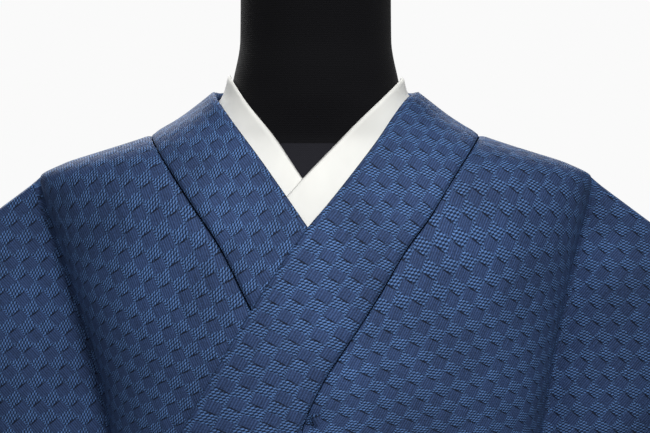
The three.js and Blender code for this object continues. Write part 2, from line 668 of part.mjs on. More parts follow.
const part = new THREE.Group();
part.add(kimono, stand);
export default part;
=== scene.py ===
"""A woman's unlined cotton kimono, closed left over right on a limbless dress form with a round stand.

The cloth is laid out as flat pieces first: each one is a grid whose two directions are the cloth's own
width and length, and a draping function then hangs it on the form. The wearer's left is +X, the front faces
-Y, and lengths in the tables are millimetres. Depths are measured down from the shoulder point, where the
collar seam crosses the top of the shoulder.
"""
import json
import math

import bmesh
import bpy
import numpy as np
from bpy.props import FloatProperty, FloatVectorProperty, PointerProperty
from mathutils import Matrix, Vector

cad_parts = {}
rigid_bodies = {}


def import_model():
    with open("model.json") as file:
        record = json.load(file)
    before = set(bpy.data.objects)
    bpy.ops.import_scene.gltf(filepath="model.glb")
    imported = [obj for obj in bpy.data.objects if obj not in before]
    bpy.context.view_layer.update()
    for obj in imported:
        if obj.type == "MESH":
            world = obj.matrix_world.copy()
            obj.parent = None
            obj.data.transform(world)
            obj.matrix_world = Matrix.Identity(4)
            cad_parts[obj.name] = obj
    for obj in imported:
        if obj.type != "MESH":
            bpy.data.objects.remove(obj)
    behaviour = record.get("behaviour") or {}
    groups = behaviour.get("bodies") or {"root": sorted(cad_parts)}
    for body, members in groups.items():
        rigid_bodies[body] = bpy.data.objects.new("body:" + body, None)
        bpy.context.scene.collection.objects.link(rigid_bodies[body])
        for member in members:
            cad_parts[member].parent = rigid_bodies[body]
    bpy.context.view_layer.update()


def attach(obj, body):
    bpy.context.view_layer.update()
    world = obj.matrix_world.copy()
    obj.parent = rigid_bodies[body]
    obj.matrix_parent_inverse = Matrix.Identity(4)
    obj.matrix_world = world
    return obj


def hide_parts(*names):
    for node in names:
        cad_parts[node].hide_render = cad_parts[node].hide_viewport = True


bl_info = {
    "name": "Cotton Kimono",
    "version": (1, 0, 0),
    "blender": (4, 5, 0),
    "location": "View3D > Sidebar > Kimono",
    "description": "Hangs a woman's cotton kimono on a dress form, piece by piece",
    "category": "Object",
}

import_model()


def linear(code):
    """An sRGB hex colour as linear red, green and blue."""
    parts = [int(code[i : i + 2], 16) / 255 for i in (0, 2, 4)]
    return tuple(c / 12.92 if c <= 0.04045 else ((c + 0.055) / 1.055) ** 2.4 for c in parts)


# ---- the cut and the form, in millimetres ----
def table(names, *rows):
    """Columns of numbers by name."""
    return {name: np.array([row[i] for row in rows], float) for i, name in enumerate(names.split())}


# The cloth's body: half width, and how far it reaches to the front and the back, at each depth.
BODY_SECTIONS = table(
    "d half front back",
    (-30, 71, 62, 66),
    (-14, 90, 62, 70),
    (0, 118, 64, 78),
    (7, 138, 68, 92),
    (14, 160, 72, 101),
    (21.5, 182, 76, 105),
    (31, 198, 80, 106),
    (45, 196, 87, 108),
    (75, 188, 98, 110),
    (120, 177, 108, 113),
    (192, 164, 118, 115),
    (250, 157, 122, 116),
    (330, 156, 124, 116),
    (447, 160, 125, 118),
    (600, 166, 129, 125),
    (900, 172, 134, 131),
    (1330, 178, 140, 136),
)
# How much nearer the middle the right armpit crease lies.
RIGHT_NARROWING = table("d by", (31, 0), (120, 8), (200, 15), (300, 11), (447, 0))
# The form: the same measures of the moulded body under the cloth.
FORM_SECTIONS = table(
    "d half front back",
    (-122, 50, 53, 56),
    (-118, 54, 57, 60),
    (-68, 54.5, 58, 61),
    (-40, 59.4, 61, 65),
    (-28, 62.5, 61, 67),
    (-11, 78, 58, 72),
    (3.2, 108, 56, 78),
    (12.4, 138, 59, 84),
    (21.2, 166, 64, 90),
    (28.2, 182, 69, 93),
    (40, 188, 76, 97),
    (60, 182.5, 85, 101),
    (90, 170, 94, 105),
    (130, 152, 101, 107),
    (200, 134, 109, 106),
    (250, 132, 112, 102),
    (330, 124, 102, 94),
    (400, 120, 94, 92),
    (480, 134, 98, 104),
    (560, 147, 103, 114),
    (620, 148, 102, 113),
    (640, 142, 97, 108),
)
# The two edges of each half of the collar: where its seam and its fold cross each depth.
LEFT_SEAM = table(
    "d x", (0, 118), (30, 98), (62, 78), (82, 63), (113, 44.5), (149, 21), (169, 7.4), (192, -4), (225, -21),
    (270, -46), (340, -74), (430, -92), (530, -98), (650, -100),
)
LEFT_FOLD = table(
    "d x", (-29.5, 70.5), (-25, 65.5), (9.5, 41), (52.6, 7.4), (67.6, -5.5), (95, -25), (124, -44),
    (166, -68.5), (209, -92.5), (262, -116), (330, -129), (430, -141), (530, -149), (650, -153),
)
RIGHT_SEAM = table(
    "d x", (0, 119), (16, 109), (51, 86), (81, 65.6), (124, 43.8), (165, 20), (205, 0), (240, -19),
    (280, -42),
    (340, -68), (430, -88), (530, -95), (650, -97),
)
RIGHT_FOLD = table(
    "d x", (-31.5, 74.5), (-26, 71.5), (23.5, 35.8), (67.6, 5), (95, -14), (124, -33), (166, -58), (209, -82),
    (262, -103), (330, -116), (430, -127), (530, -139), (650, -142),
)
# How much higher than its seam the collar's fold lies, straight across the band.
COLLAR_SKEW = table("d by", (0, 29.5), (60, 36), (150, 33), (230, 25), (330, 11), (430, 5), (650, 0))
# The collar's fold behind the neck, from the shoulder round to the centre back.
COLLAR_BACK = table(
    "share x y d",
    (0, 72.5, 0, -30.5),
    (0.15, 71.5, 20, -30.5),
    (0.28, 68, 38, -31),
    (0.45, 60.5, 62, -33),
    (0.68, 42, 90, -35),
    (0.84, 22, 103, -36),
    (1, 0, 107, -36),
)
BACK_NECKLINE = table("share x d", (0, 118, 0), (0.35, 100, 4), (0.7, 62, 12), (1, 0, 17))
# The white collar inside: its lower and upper edges, behind the neck and then down each front.
UNDERCOLLAR_BACK = table(
    "share ox oy od ix iy id",
    (0, 82, 0, -12.5, 62.2, 0, -42),
    (0.15, 83, 20, -10.5, 61.6, 16, -40.5),
    (0.3, 82, 40, -8, 60.5, 34, -38),
    (0.5, 70, 70, -3, 53, 63, -36.5),
    (0.75, 38, 92, 0, 34, 91, -35),
    (1, 0, 99, 2, 0, 102.5, -35),
)
LEFT_UNDER_UPPER = table("d x", (-41, 60.5), (-36, 57), (-1, 23.5), (33.4, -9), (45, -19), (78, -44))
LEFT_UNDER_LOWER = table("d x", (-12, 79), (12, 62), (50, 28), (76, 8), (100, -12), (118, -28))
RIGHT_UNDER_UPPER = table("d x", (-43.5, 61), (-22, 48.6), (5, 27.7), (33.4, 9), (52, -5), (78, -22))
RIGHT_UNDER_LOWER = table("d x", (-12, 79), (20, 60), (50, 40), (76, 20), (100, 4), (118, -8))
# The seam of each overlap leaves the collar at the overlap's point and drifts across from there.
OVERLAP_DRIFT = table("d by", (200, 0), (330, -15), (447, -25), (600, -32), (1330, -35))
LEFT_OVERLAP_EDGE = table("d x", (650, -153.5), (900, -158), (1330, -162))
RIGHT_OVERLAP_EDGE = table("d x", (650, -142.5), (900, -146), (1330, -150))

HEM_DEPTH = 1330
SEAM_GAP = 0.3
FRONT_LIFT = 4.8  # the left front lies this far over the right one
COLLAR_LIFT = 0.9
ARMHOLE = 230
# A front's inner edge slants: down to the armhole's foot it falls by this share of the cloth's length.
INNER_FALL = 0.87
SIDE_SLIT = 140
PANEL_LENGTH = 1300  # shoulder fold to hem along the cloth
NECKLINE_LENGTH = 76
OVERLAP_POINT = 230
COLLAR_END_DEPTH = 650
ROUNDNESS = 2.25
TIP_DEPTH = 31
VALLEY_INSET = 4
WING_BULGE = 10
ARMHOLE_INSET = 10
SLEEVE_DROP = 490
SLEEVE_WIDTH = 335
CUFF_OPENING = 230
ARMHOLE_TOP = (290, 100)
ARMHOLE_FOOT = (204, 313)
SLIT_FOOT = (155, -45, 447)
CUFF_TOP = (446, 364)
CUFF_FOOT = (380, 848)
SLEEVE_INNER_FOOT = (196, 573)


# ---- small tools ----
def clamp(t):
    return np.clip(t, 0.0, 1.0)


def smooth(t):
    t = clamp(t)
    return t * t * (3 - 2 * t)


def mix(a, b, t):
    return a + (b - a) * t


def rounded(t):
    """A quarter circle from 0 to 1."""
    return np.sqrt(1 - (1 - clamp(t)) ** 2)


def curve(rows, along, value):
    """A smooth curve through a table's rows that never overshoots them."""
    xs, ys = rows[along], rows[value]
    slopes = np.diff(ys) / np.diff(xs)
    tangents = np.empty(len(xs))
    tangents[0], tangents[-1] = slopes[0], slopes[-1]
    before, after = slopes[:-1], slopes[1:]
    same = before * after > 0
    tangents[1:-1] = np.where(same, 2 * before * after / np.where(same, before + after, 1), 0)

    def at(x):
        x = np.clip(np.asarray(x, float), xs[0], xs[-1])
        i = np.clip(np.searchsorted(xs, x, side="right") - 1, 0, len(xs) - 2)
        span = xs[i + 1] - xs[i]
        t = (x - xs[i]) / span
        return (
            ys[i] * (1 + 2 * t) * (1 - t) ** 2
            + tangents[i] * span * t * (1 - t) ** 2
            + ys[i + 1] * t * t * (3 - 2 * t)
            + tangents[i + 1] * span * t * t * (t - 1)
        )

    return at


BODY = {key: curve(BODY_SECTIONS, "d", key) for key in ("half", "front", "back")}
FORM = {key: curve(FORM_SECTIONS, "d", key) for key in ("half", "front", "back")}
NARROWING = curve(RIGHT_NARROWING, "d", "by")
NECK_SEAM_DEPTH = 7.0
NECK_STITCHES = 150

SEAM_EDGE = {1: curve(LEFT_SEAM, "d", "x"), -1: curve(RIGHT_SEAM, "d", "x")}
FOLD_EDGE = {1: curve(LEFT_FOLD, "d", "x"), -1: curve(RIGHT_FOLD, "d", "x")}
SKEW = curve(COLLAR_SKEW, "d", "by")
DRIFT = curve(OVERLAP_DRIFT, "d", "by")
OVERLAP_EDGE = {1: curve(LEFT_OVERLAP_EDGE, "d", "x"), -1: curve(RIGHT_OVERLAP_EDGE, "d", "x")}
FOLD_BACK = {key: curve(COLLAR_BACK, "share", key) for key in "xyd"}
NECKLINE = {key: curve(BACK_NECKLINE, "share", key) for key in "xd"}


# ---- the shape the cloth takes on the form ----
# Everything here is for one side, in that side's own x: positive away from the middle.
def half_width(side, d, angle):
    inward = np.where(np.sign(angle) * side < 0, NARROWING(d), 0)
    return BODY["half"](d) - inward


def on_ring(half, front, back, angle, inset=0):
    """A point of a superellipse ring: angle 0 is the front's middle and a half turn the back's."""
    facing = np.where(np.cos(angle) < 0, -1.0, 1.0)
    across = np.sign(angle) * np.abs(np.sin(angle)) ** (2 / ROUNDNESS)
    out = facing * np.abs(np.cos(angle)) ** (2 / ROUNDNESS)
    return half * across, -(np.where(facing > 0, front, back) - inset) * out - facing * inset


def ring_angle(x, half):
    return np.sign(x) * np.arcsin(clamp(np.abs(x) / half) ** (ROUNDNESS / 2))


def on_section(side, d, angle, lift, inset=0):
    half = half_width(side, d, angle) + lift
    return on_ring(half, BODY["front"](d) + lift, BODY["back"](d) + lift, angle, inset)


def angle_of(side, x, d, lift=0):
    return ring_angle(x, half_width(side, d, x) + lift)


def front_lift(side, v, angle):
    """The left front lies over the right; its lift fades out towards the shoulder and the armpit."""
    if side < 0:
        return np.zeros_like(v * angle)
    high = 1 - smooth((angle - 0.95) / 0.5)
    return FRONT_LIFT * smooth(v / 45) * mix(high, 1, smooth((v - 230) / 130))


def front_inner_depth(v):
    low = mix(INNER_FALL * ARMHOLE, HEM_DEPTH, (v - ARMHOLE) / (PANEL_LENGTH - ARMHOLE))
    return np.where(v < ARMHOLE, v * INNER_FALL, low)


def back_inner_depth(v):
    low = mix(17, HEM_DEPTH, (v - NECKLINE_LENGTH) / (PANEL_LENGTH - NECKLINE_LENGTH))
    return np.where(v < NECKLINE_LENGTH, NECKLINE["d"](v / NECKLINE_LENGTH), low)


def crease_depth(v):
    return mix(TIP_DEPTH, HEM_DEPTH, v / PANEL_LENGTH)


def seam_x(side, v):
    """The panel's inner edge: the collar seam, and below the overlap's point the overlap seam."""
    start = front_inner_depth(np.array(float(OVERLAP_POINT)))
    d = front_inner_depth(v)
    return np.where(v <= OVERLAP_POINT, SEAM_EDGE[side](d), SEAM_EDGE[side](start) + DRIFT(d))


def side_edge(v, back):
    """The panel's outer edge: the armhole, the open slit and then the side seam."""
    sign = np.where(back, 1.0, -1.0)
    inset = sign * ARMHOLE_INSET * rounded(v / 12)
    t = v / ARMHOLE
    s = clamp((v - ARMHOLE) / SIDE_SLIT)
    low = (v - ARMHOLE - SIDE_SLIT) / (PANEL_LENGTH - ARMHOLE - SIDE_SLIT)
    above = v <= ARMHOLE
    x = np.where(above, mix(ARMHOLE_TOP[0], ARMHOLE_FOOT[0], t), mix(ARMHOLE_FOOT[0], SLIT_FOOT[0], s))
    y = np.where(above, inset, mix(inset, SLIT_FOOT[1] + sign * SEAM_GAP / 2, smooth(s)))
    hung = np.where(s < 1, mix(ARMHOLE_FOOT[1], SLIT_FOOT[2], s), mix(SLIT_FOOT[2], HEM_DEPTH, low))
    return x, y, np.where(above, mix(ARMHOLE_TOP[1], ARMHOLE_FOOT[1], t), hung)


TORSO_SHARE = 9 / 14  # how much of a panel's width lies on the torso, before the armpit crease


def body_point(side, share, v, back):
    """A body panel's point: share across it from the middle to the side, v down from the shoulder fold."""
    low = smooth((v - 190) / 110)
    inner_d = np.where(back, back_inner_depth(v), front_inner_depth(v))
    neck_x = np.where(v < NECKLINE_LENGTH, NECKLINE["x"](v / NECKLINE_LENGTH), SEAM_GAP / 2)
    inner_x = np.where(back, neck_x, seam_x(side, v))
    lift0 = np.where(back, 0, front_lift(side, v, np.zeros_like(v)))
    inner_angle = angle_of(side, inner_x, inner_d, lift0)
    start = np.where(back, np.pi - inner_angle, inner_angle)
    seam_angle = math.acos((-SLIT_FOOT[1] / float(BODY["front"](SLIT_FOOT[2]))) ** (ROUNDNESS / 2))
    end = seam_angle + np.where(back, 0.7, -0.7) * SEAM_GAP / 160
    crease = mix(np.pi / 2, mix(start, end, TORSO_SHARE), low)
    inset = VALLEY_INSET * rounded(v / 12) * (1 - low)

    def on_torso(s):
        angle = mix(start, crease, s)
        d = mix(inner_d, crease_depth(v), s)
        lift = np.where(back, 0, front_lift(side, v, angle))
        x, y = on_section(side, d, angle, lift, inset)
        return x, y, d

    s = clamp(share / TORSO_SHARE)
    w = clamp((share - TORSO_SHARE) / (1 - TORSO_SHARE))
    tx, ty, td = on_torso(s)
    fx, fy, _ = on_torso(np.ones_like(s))
    ex, ey, ed = side_edge(v, back)
    bulge = np.where(back, 1, -1) * WING_BULGE * 4 * w * (1 - w) * smooth(v / 60)
    lift = lift0 * (1 - smooth((w - 0.7) / 0.3))
    wd = mix(crease_depth(v), ed, w)
    rx, ry = on_section(side, wd, mix(crease, end, w), lift)
    full = smooth((v - 190) / mix(110, 180, w))
    wx = mix(mix(fx, ex, w), rx, full)
    wy = mix(mix(fy, ey, w) + bulge, ry, full)
    wing = share > TORSO_SHARE
    return np.where(wing, wx, tx), np.where(wing, wy, ty), np.where(wing, wd, td)


# ---- from flat cloth to a draped mesh ----
def crowd(t, centres, width=0.02, strength=6.0):
    """Spreads even steps over 0 to 1 so that they crowd round the given places."""
    at = np.linspace(0, 1, 4001)
    density = 1 + sum(strength * np.exp(-(((at - c) / width) ** 2)) for c in centres)
    total = np.concatenate([[0], np.cumsum((density[1:] + density[:-1]) / 2)])
    return np.interp(t, total / total[-1], at)


def averaged(point, share, v, reach_share, reach_v):
    """A drape with its corners softened: the mean of near places on the same cloth."""
    steps = ((-1, 1), (-0.5, 2), (0, 3), (0.5, 2), (1, 1))
    total = [0, 0, 0]
    weight = 0
    for a, wa in steps:
        for b, wb in steps:
            place = point(clamp(share + a * reach_share), v + b * reach_v)
            total = [have + wa * wb * more for have, more in zip(total, place)]
            weight += wa * wb
    return [value / weight for value in total]


def settle(x, y, d, depth=8.0):
    """Soft upright folds that deepen towards the hem. All layers take the same, so none meets another."""
    turn = np.arctan2(x, -y)
    wave = 0.5 * np.sin(6 * turn + 0.6 + d / 520) + 0.32 * np.sin(11 * turn + 1.9 - d / 700)
    wave = wave + 0.18 * np.sin(17 * turn + 0.4 + d / 400)
    out = depth * smooth((d - 260) / 900) * wave
    scale = 1 + out / np.maximum(np.hypot(x, y), 20)
    return x * scale, y * scale, d


def outward(x, y, z, reverse):
    """Unit normals of a grid of points."""
    points = np.stack([x, y, z], axis=-1)
    across = np.gradient(points, axis=1)
    along = np.gradient(points, axis=0)
    normal = np.cross(across, along)
    normal /= np.maximum(np.linalg.norm(normal, axis=-1, keepdims=True), 1e-9)
    return -normal if reverse else normal


def cloth_piece(name, across, along, drape, pattern, split=None):
    """Makes a grid, hangs it with drape(s, t) in millimetres, and stores the cloth's metres as its UV map.

    pattern(s, t, x, y, d) gives the cloth's width and length coordinates. Where a fold hides cloth, split
    is the share across at which a second pattern, given after the first, takes over.
    """
    bm = bmesh.new()
    bmesh.ops.create_grid(bm, x_segments=across, y_segments=along, size=0.5)
    bm.verts.ensure_lookup_table()
    flat = np.array([v.co[:2] for v in bm.verts]) + 0.5
    order = np.lexsort((np.round(flat[:, 0], 6), np.round(flat[:, 1], 6)))
    rows = len(np.unique(np.round(flat[:, 1], 6)))
    s, t = (flat[order, i].reshape(rows, -1) for i in (0, 1))
    x, y, z = drape(s, t)
    maps = pattern(s, t, x, y, 1000 * sizes().shoulder_height - z)
    places = np.stack([x, y, z], axis=-1).reshape(-1, 3) * 0.001
    for index, place in zip(order, places):
        bm.verts[index].co = place
    mesh = bpy.data.meshes.new(name)
    bm.to_mesh(mesh)
    bm.free()
    corner = np.empty(len(mesh.loops), int)
    mesh.loops.foreach_get("vertex_index", corner)
    spread = []
    for column in maps:
        by_vertex = np.empty(len(order))
        by_vertex[order] = column.ravel() * 0.001
        spread.append(by_vertex[corner])
    uv = np.stack(spread[:2], axis=-1)
    if split is not None:
        middle = flat[corner, 0].reshape(-1, 4).mean(axis=1).repeat(4)
        uv = np.where((middle > split)[:, None], np.stack(spread[2:], axis=-1), uv)
    mesh.uv_layers.new(name="cloth").data.foreach_set("uv", uv.ravel())
    mesh.polygons.foreach_set("use_smooth", [True] * len(mesh.polygons))
    piece = bpy.data.objects.new(name, mesh)
    bpy.context.scene.collection.objects.link(piece)
    return piece


def wall(piece, thickness, offset=0.0):
    """Gives a sheet its thickness, in metres."""
    modifier = piece.modifiers.new("wall", "SOLIDIFY")
    modifier.thickness = thickness
    modifier.offset = offset
    modifier.use_even_offset = False
    return piece


def height(d):
    return 1000 * sizes().shoulder_height - d


def sizes():
    return bpy.context.scene.kimono_sizes


def colours():
    return bpy.context.scene.kimono_colours


# How the cloth's own width and length run on each side: down from the shoulder fold it leans towards the
# middle by this many degrees, and it hangs straight again by the hip.
LEAN = {1: 26.0, -1: 23.5}
WING_LEAN = 41.0
_depths = np.arange(0.0, 1400.0)


def lean_at(side, d):
    return math.radians(LEAN[side]) * (1 - smooth((d - 170) / 420))


def chest_pattern(side, x, d):
    drift = np.interp(d, _depths, np.cumsum(np.tan(lean_at(side, _depths))))
    lean = lean_at(side, d)
    return (x + drift) * np.cos(lean), (d - (x - 118) * np.tan(lean)) * np.cos(lean)


def wing_pattern(x, d):
    lean = math.radians(WING_LEAN)
    across, down = x - 198, d - TIP_DEPTH
    return across * math.cos(lean) + down * math.sin(lean), down * math.cos(lean) - across * math.sin(lean)


def turned_back(pattern, back, x, d, ridge_x, ridge_d):
    """Behind the shoulder fold the cloth's length runs on the other way."""
    u, v = pattern(x, d)
    _, fold = pattern(x, np.interp(x, ridge_x, ridge_d))
    return u, np.where(back, 2 * fold - v, v)


def distance_across(x, y):
    """How far each point of a grid lies from its row's first, level along the cloth."""
    step = np.hypot(np.diff(x, axis=1), np.diff(y, axis=1))
    return np.concatenate([np.zeros((len(x), 1)), np.cumsum(step, axis=1)], axis=1)


def distance_down(y, d):
    """How far each point lies below the grid's middle row, the shoulder fold, along the cloth."""
    step = np.hypot(np.diff(y, axis=0), np.diff(d, axis=0))
    total = np.concatenate([np.zeros((1, y.shape[1])), np.cumsum(step, axis=0)])
    middle = len(y) // 2
    return np.abs(total - total[middle]) + d[middle]


# ---- body panels ----
def panel_rows(t):
    """Rows crowd at the shoulder fold, at the foot of the back neckline and at the overlap's point."""
    corner, point = NECKLINE_LENGTH / (2 * PANEL_LENGTH), OVERLAP_POINT / (2 * PANEL_LENGTH)
    return crowd(t, (0.5, 0.5 + corner, 0.5 - point), 0.006, 6)


def hang_body(side):
    def drape(s, t):
        share = crowd(s, (0, TORSO_SHARE, 1), 0.03, 4)
        v = (panel_rows(t) - 0.5) * 2 * PANEL_LENGTH
        back, down = v > 0, np.abs(v)

        def point(a, b):
            return body_point(side, a, clamp(b / PANEL_LENGTH) * PANEL_LENGTH, back)

        edge = clamp(share / 0.12) * clamp((1 - share) / 0.12)
        reach_share = 0.045 * np.exp(-(((share - TORSO_SHARE) / 0.07) ** 2))
        reach_v = np.minimum(26, np.minimum(down * 0.35, (PANEL_LENGTH - down) * 0.8)) * edge
        x, y, d = averaged(point, share, down, reach_share, reach_v)
        x, y, d = settle(side * x, y, d)
        normal = outward(x, y, height(d), side < 0)
        rise = body_relief(side, share, down, back)
        x, y = x + normal[..., 0] * rise, y + normal[..., 1] * rise
        return x, y, height(d) + normal[..., 2] * rise

    def pattern(s, t, x, y, d):
        back = t > 0.5
        middle = len(x) // 2
        columns = crowd(s, (0, TORSO_SHARE, 1), 0.03, 4)[0]
        crease = int(np.argmin(np.abs(columns - TORSO_SHARE)))
        run, down = distance_across(x, y), distance_down(y, d)
        over_chest = side * x[:, :1] + run
        over_arm = side * x[:, crease : crease + 1] + run - run[:, crease : crease + 1]

        def chest(a, b):
            return chest_pattern(side, a, b)

        # Round the shoulder's top the cloth runs further than it falls, by one even amount below it.
        extra = down - d
        level = extra[:, :crease].mean(axis=1, keepdims=True)
        fall = d + mix(extra, level, smooth(d / 140))
        torso = turned_back(chest, back, over_chest, fall, over_chest[middle], fall[middle])
        wing = turned_back(wing_pattern, back, over_arm, down, over_arm[middle], down[middle])
        # Below the armhole the panel goes round the side in one piece, so its two maps become one.
        joined = smooth((down - 300) / 150)
        meet = int(np.argmin(np.abs(down[:middle, crease] - 370)))
        wing = [mix(w + a[meet, crease] - w[meet, crease], a, joined) for w, a in zip(wing, torso)]
        return side * torso[0], torso[1], side * wing[0], wing[1]

    return drape, pattern


def body_relief(side, share, v, back):
    """Seams lie in shallow grooves, the hem is turned up, and the cloth is never quite flat."""
    width = 330.0
    from_inner, from_outer = share * width, (1 - share) * width
    by_collar = smooth((OVERLAP_POINT + 20 - v) / 40) * ~back
    groove = -mix(1.0, 1.5, by_collar) * np.exp(-((from_inner / mix(2.5, 6.0, by_collar)) ** 2))
    groove = groove - 0.9 * np.exp(-((from_outer / 2.5) ** 2)) * (v < ARMHOLE)
    hem = 0.45 * smooth((v - (PANEL_LENGTH - 14)) / 1.5)
    slack = 1.1 * np.sin(share * 9 + v / 75 + side) * np.sin(v / 120 + 1.3 * side) * smooth(v / 90)
    slack = slack * smooth(from_inner / 50) * smooth(from_outer / 60)
    # The seam draws the cloth in where the point of the overlap is sewn to it.
    drawn_in = -4.6 * np.exp(-(((from_inner - 3.5) / 4.2) ** 2) - ((v - OVERLAP_POINT) / 9) ** 2) * ~back
    return groove + hem + slack + drawn_in


# ---- overlaps ----
def hang_overlap(side):
    lift = FRONT_LIFT if side > 0 else 0.0
    top = float(front_inner_depth(np.array(OVERLAP_POINT - 8.0)))

    def drape(s, t):
        d = mix(top, HEM_DEPTH, crowd(t, (0,), 0.05, 3))
        v = mix(ARMHOLE, PANEL_LENGTH, (d - INNER_FALL * ARMHOLE) / (HEM_DEPTH - INNER_FALL * ARMHOLE))
        inner = seam_x(side, v) - 0.4
        free = np.where(d > COLLAR_END_DEPTH, OVERLAP_EDGE[side](d), FOLD_EDGE[side](d) + 4)
        x = mix(inner, free, crowd(s, (0, 1), 0.03, 4))
        tucked = smooth((SEAM_EDGE[side](d) - x) / 3) * smooth((COLLAR_END_DEPTH + 2 - d) / 4)
        rise = lift + COLLAR_LIFT * tucked
        angle = angle_of(side, x, d, rise)
        px, py = on_section(side, d, angle, rise)
        return px * side, py, d, s, x - inner, x - free

    def hung(s, t):
        px, py, d, s, from_seam, from_edge = drape(s, t)
        px, py, d = settle(px, py, d)
        normal = outward(px, py, height(d), side > 0)
        bare = smooth((d - COLLAR_END_DEPTH) / 6)
        rise = -1.0 * np.exp(-((from_seam / 2.5) ** 2)) + 0.45 * bare * smooth((12 - from_edge) / 1.5)
        rise = rise + 0.45 * smooth((d - (HEM_DEPTH - 14)) / 1.5)
        return px + normal[..., 0] * rise, py + normal[..., 1] * rise, height(d) + normal[..., 2] * rise

    def pattern(s, t, x, y, d):
        u, v = chest_pattern(side, side * x[:, :1] - distance_across(x, y), d)
        return side * (u + 6), v + 5

    return hung, pattern


# ---- collars ----
def folded(path, length, half_thickness):
    """A share of the way round a folded band: how far from the seam edge, and how far out from the middle."""
    straight = length - half_thickness
    total = 2 * straight + math.pi * half_thickness
    at = path * total
    turn = clamp((at - straight) / (math.pi * half_thickness)) * math.pi
    after = np.maximum(at - straight - math.pi * half_thickness, 0)
    out = np.minimum(at, straight) + half_thickness * np.sin(turn) - after
    return out / length, half_thickness * np.cos(turn)


def collar_rows(side, v, share):
    """The collar's middle surface. A positive v runs down the front, and a negative one round the neck."""
    down = np.maximum(v, 0)
    od = np.minimum(front_inner_depth(down), COLLAR_END_DEPTH)
    skew = od - SKEW(od)
    x = mix(SEAM_EDGE[side](od), FOLD_EDGE[side](skew), share)
    d = mix(od, skew, share)
    lift = COLLAR_LIFT + (FRONT_LIFT * smooth((d + 10) / 45) if side > 0 else 0)
    fx, fy = on_section(side, d, angle_of(side, x, d, lift), lift)
    round_neck = clamp(-v / NECKLINE_LENGTH)
    bx, by, bd = body_point(side, np.zeros_like(v), round_neck * NECKLINE_LENGTH, np.ones_like(v, bool))
    back = [mix(seam, FOLD_BACK[k](round_neck), share) for k, seam in zip("xyd", (bx, by, bd))]
    behind = v < 0
    return tuple(np.where(behind, b, f) for b, f in zip(back, (fx, fy, d)))


COLLAR_END_SHARE = (COLLAR_END_DEPTH - INNER_FALL * ARMHOLE) / (HEM_DEPTH - INNER_FALL * ARMHOLE)
COLLAR_FRONT = float(mix(ARMHOLE, PANEL_LENGTH, COLLAR_END_SHARE))


def band_run(t):
    """Along a band, from the left front's end round the neck to the right's: the side, and v as above."""
    along = crowd(t, (0.5,), 0.12, 2.0)
    left = along < 0.5
    share = np.where(left, 1 - 2 * along, 2 * along - 1)
    return left, share


def hang_collar():
    half = sizes().collar_wall * 500

    def surface(share, t):
        left, run = band_run(t)
        v = run * (COLLAR_FRONT + NECKLINE_LENGTH) - NECKLINE_LENGTH
        near, far = collar_rows(1, v, share), collar_rows(-1, v, share)
        x = np.where(left, near[0], -far[0])
        y = np.where(left, near[1], far[1])
        d = np.where(left, near[2], far[2])
        return x, y, d

    def softened(share, t):
        steps = ((-1, 1), (-0.5, 2), (0, 3), (0.5, 2), (1, 1))
        reach = 0.006 * clamp(np.minimum(t, 1 - t) / 0.02)
        parts = [[w * c for c in surface(share, clamp(t + a * reach))] for a, w in steps]
        return [sum(values) / 9 for values in zip(*parts)]

    def drape(s, t):
        share, out = folded(s, 54.0, half)
        share = mix(0.012, 1, share)
        out = out * (1 - 0.75 * np.exp(-((share * 54 / 4.0) ** 2)))
        x, y, d = settle(*softened(share, t))
        eps = 0.004
        ax, ay, ad = settle(*softened(share + eps, t))
        bx, by, bd = settle(*softened(share, clamp(t + eps * (t < 0.5) - eps * (t >= 0.5))))
        across = np.stack([ax - x, ay - y, d - ad], axis=-1)
        along = np.stack([bx - x, by - y, d - bd], axis=-1)
        normal = np.cross(along, across) * np.where(t < 0.5, 1, -1)[..., None]
        normal /= np.linalg.norm(normal, axis=-1, keepdims=True)
        rise = out + 0.35 * np.sin(t * 60) * np.sin(share * 3.1) * (out > 0)
        return x + normal[..., 0] * rise, y + normal[..., 1] * rise, height(d) + normal[..., 2] * rise

    def pattern(s, t, x, y, d):
        share, out = folded(s, 54.0, half)
        middle = x.shape[1] // 4
        step = np.sqrt(np.diff(x[:, middle]) ** 2 + np.diff(y[:, middle]) ** 2 + np.diff(d[:, middle]) ** 2)
        run = np.concatenate([[0], np.cumsum(step)])[:, None] + 0 * s
        return np.where(out > 0, share, 2 - share) * 56, run

    return drape, pattern


def under_rows(side, t, share):
    """The white collar: t from 0 at the centre back to 1 at its front end, share from its lower edge up."""
    lower = LEFT_UNDER_LOWER if side > 0 else RIGHT_UNDER_LOWER
    upper = LEFT_UNDER_UPPER if side > 0 else RIGHT_UNDER_UPPER
    behind = t < 0.42
    down = clamp((t - 0.42) / 0.58) ** 1.5
    od = mix(lower["d"][0], lower["d"][-1], down)
    ud = mix(upper["d"][0], upper["d"][-1], down)
    start = ring_angle(curve(lower, "d", "x")(od), FORM["half"](od) + 1)
    end = ring_angle(curve(upper, "d", "x")(ud), FORM["half"](ud) + 1)
    d = mix(od, ud, share)
    lift = 1.8 + 1.4 * (1 - down) ** 5 + (2 * smooth((d + 10) / 40) if side > 0 else 0)
    fx, fy = on_ring(*(FORM[k](d) + lift for k in ("half", "front", "back")), mix(start, end, share))
    round_neck = 1 - clamp(t / 0.42)
    keys = ("ox", "oy", "od", "ix", "iy", "id")
    at = {k: curve(UNDERCOLLAR_BACK, "share", k)(1 - clamp(t / 0.42)) for k in keys}
    sag = 20 * share * (1 - share) * (1 - smooth(round_neck * 1.6))
    bx = mix(at["ox"], at["ix"], share) - sag * 0.8
    bd = mix(at["od"], at["id"], share) + sag * 0.5
    by = mix(at["oy"], at["iy"], share)
    return np.where(behind, bx, fx), np.where(behind, by, fy), np.where(behind, bd, d)


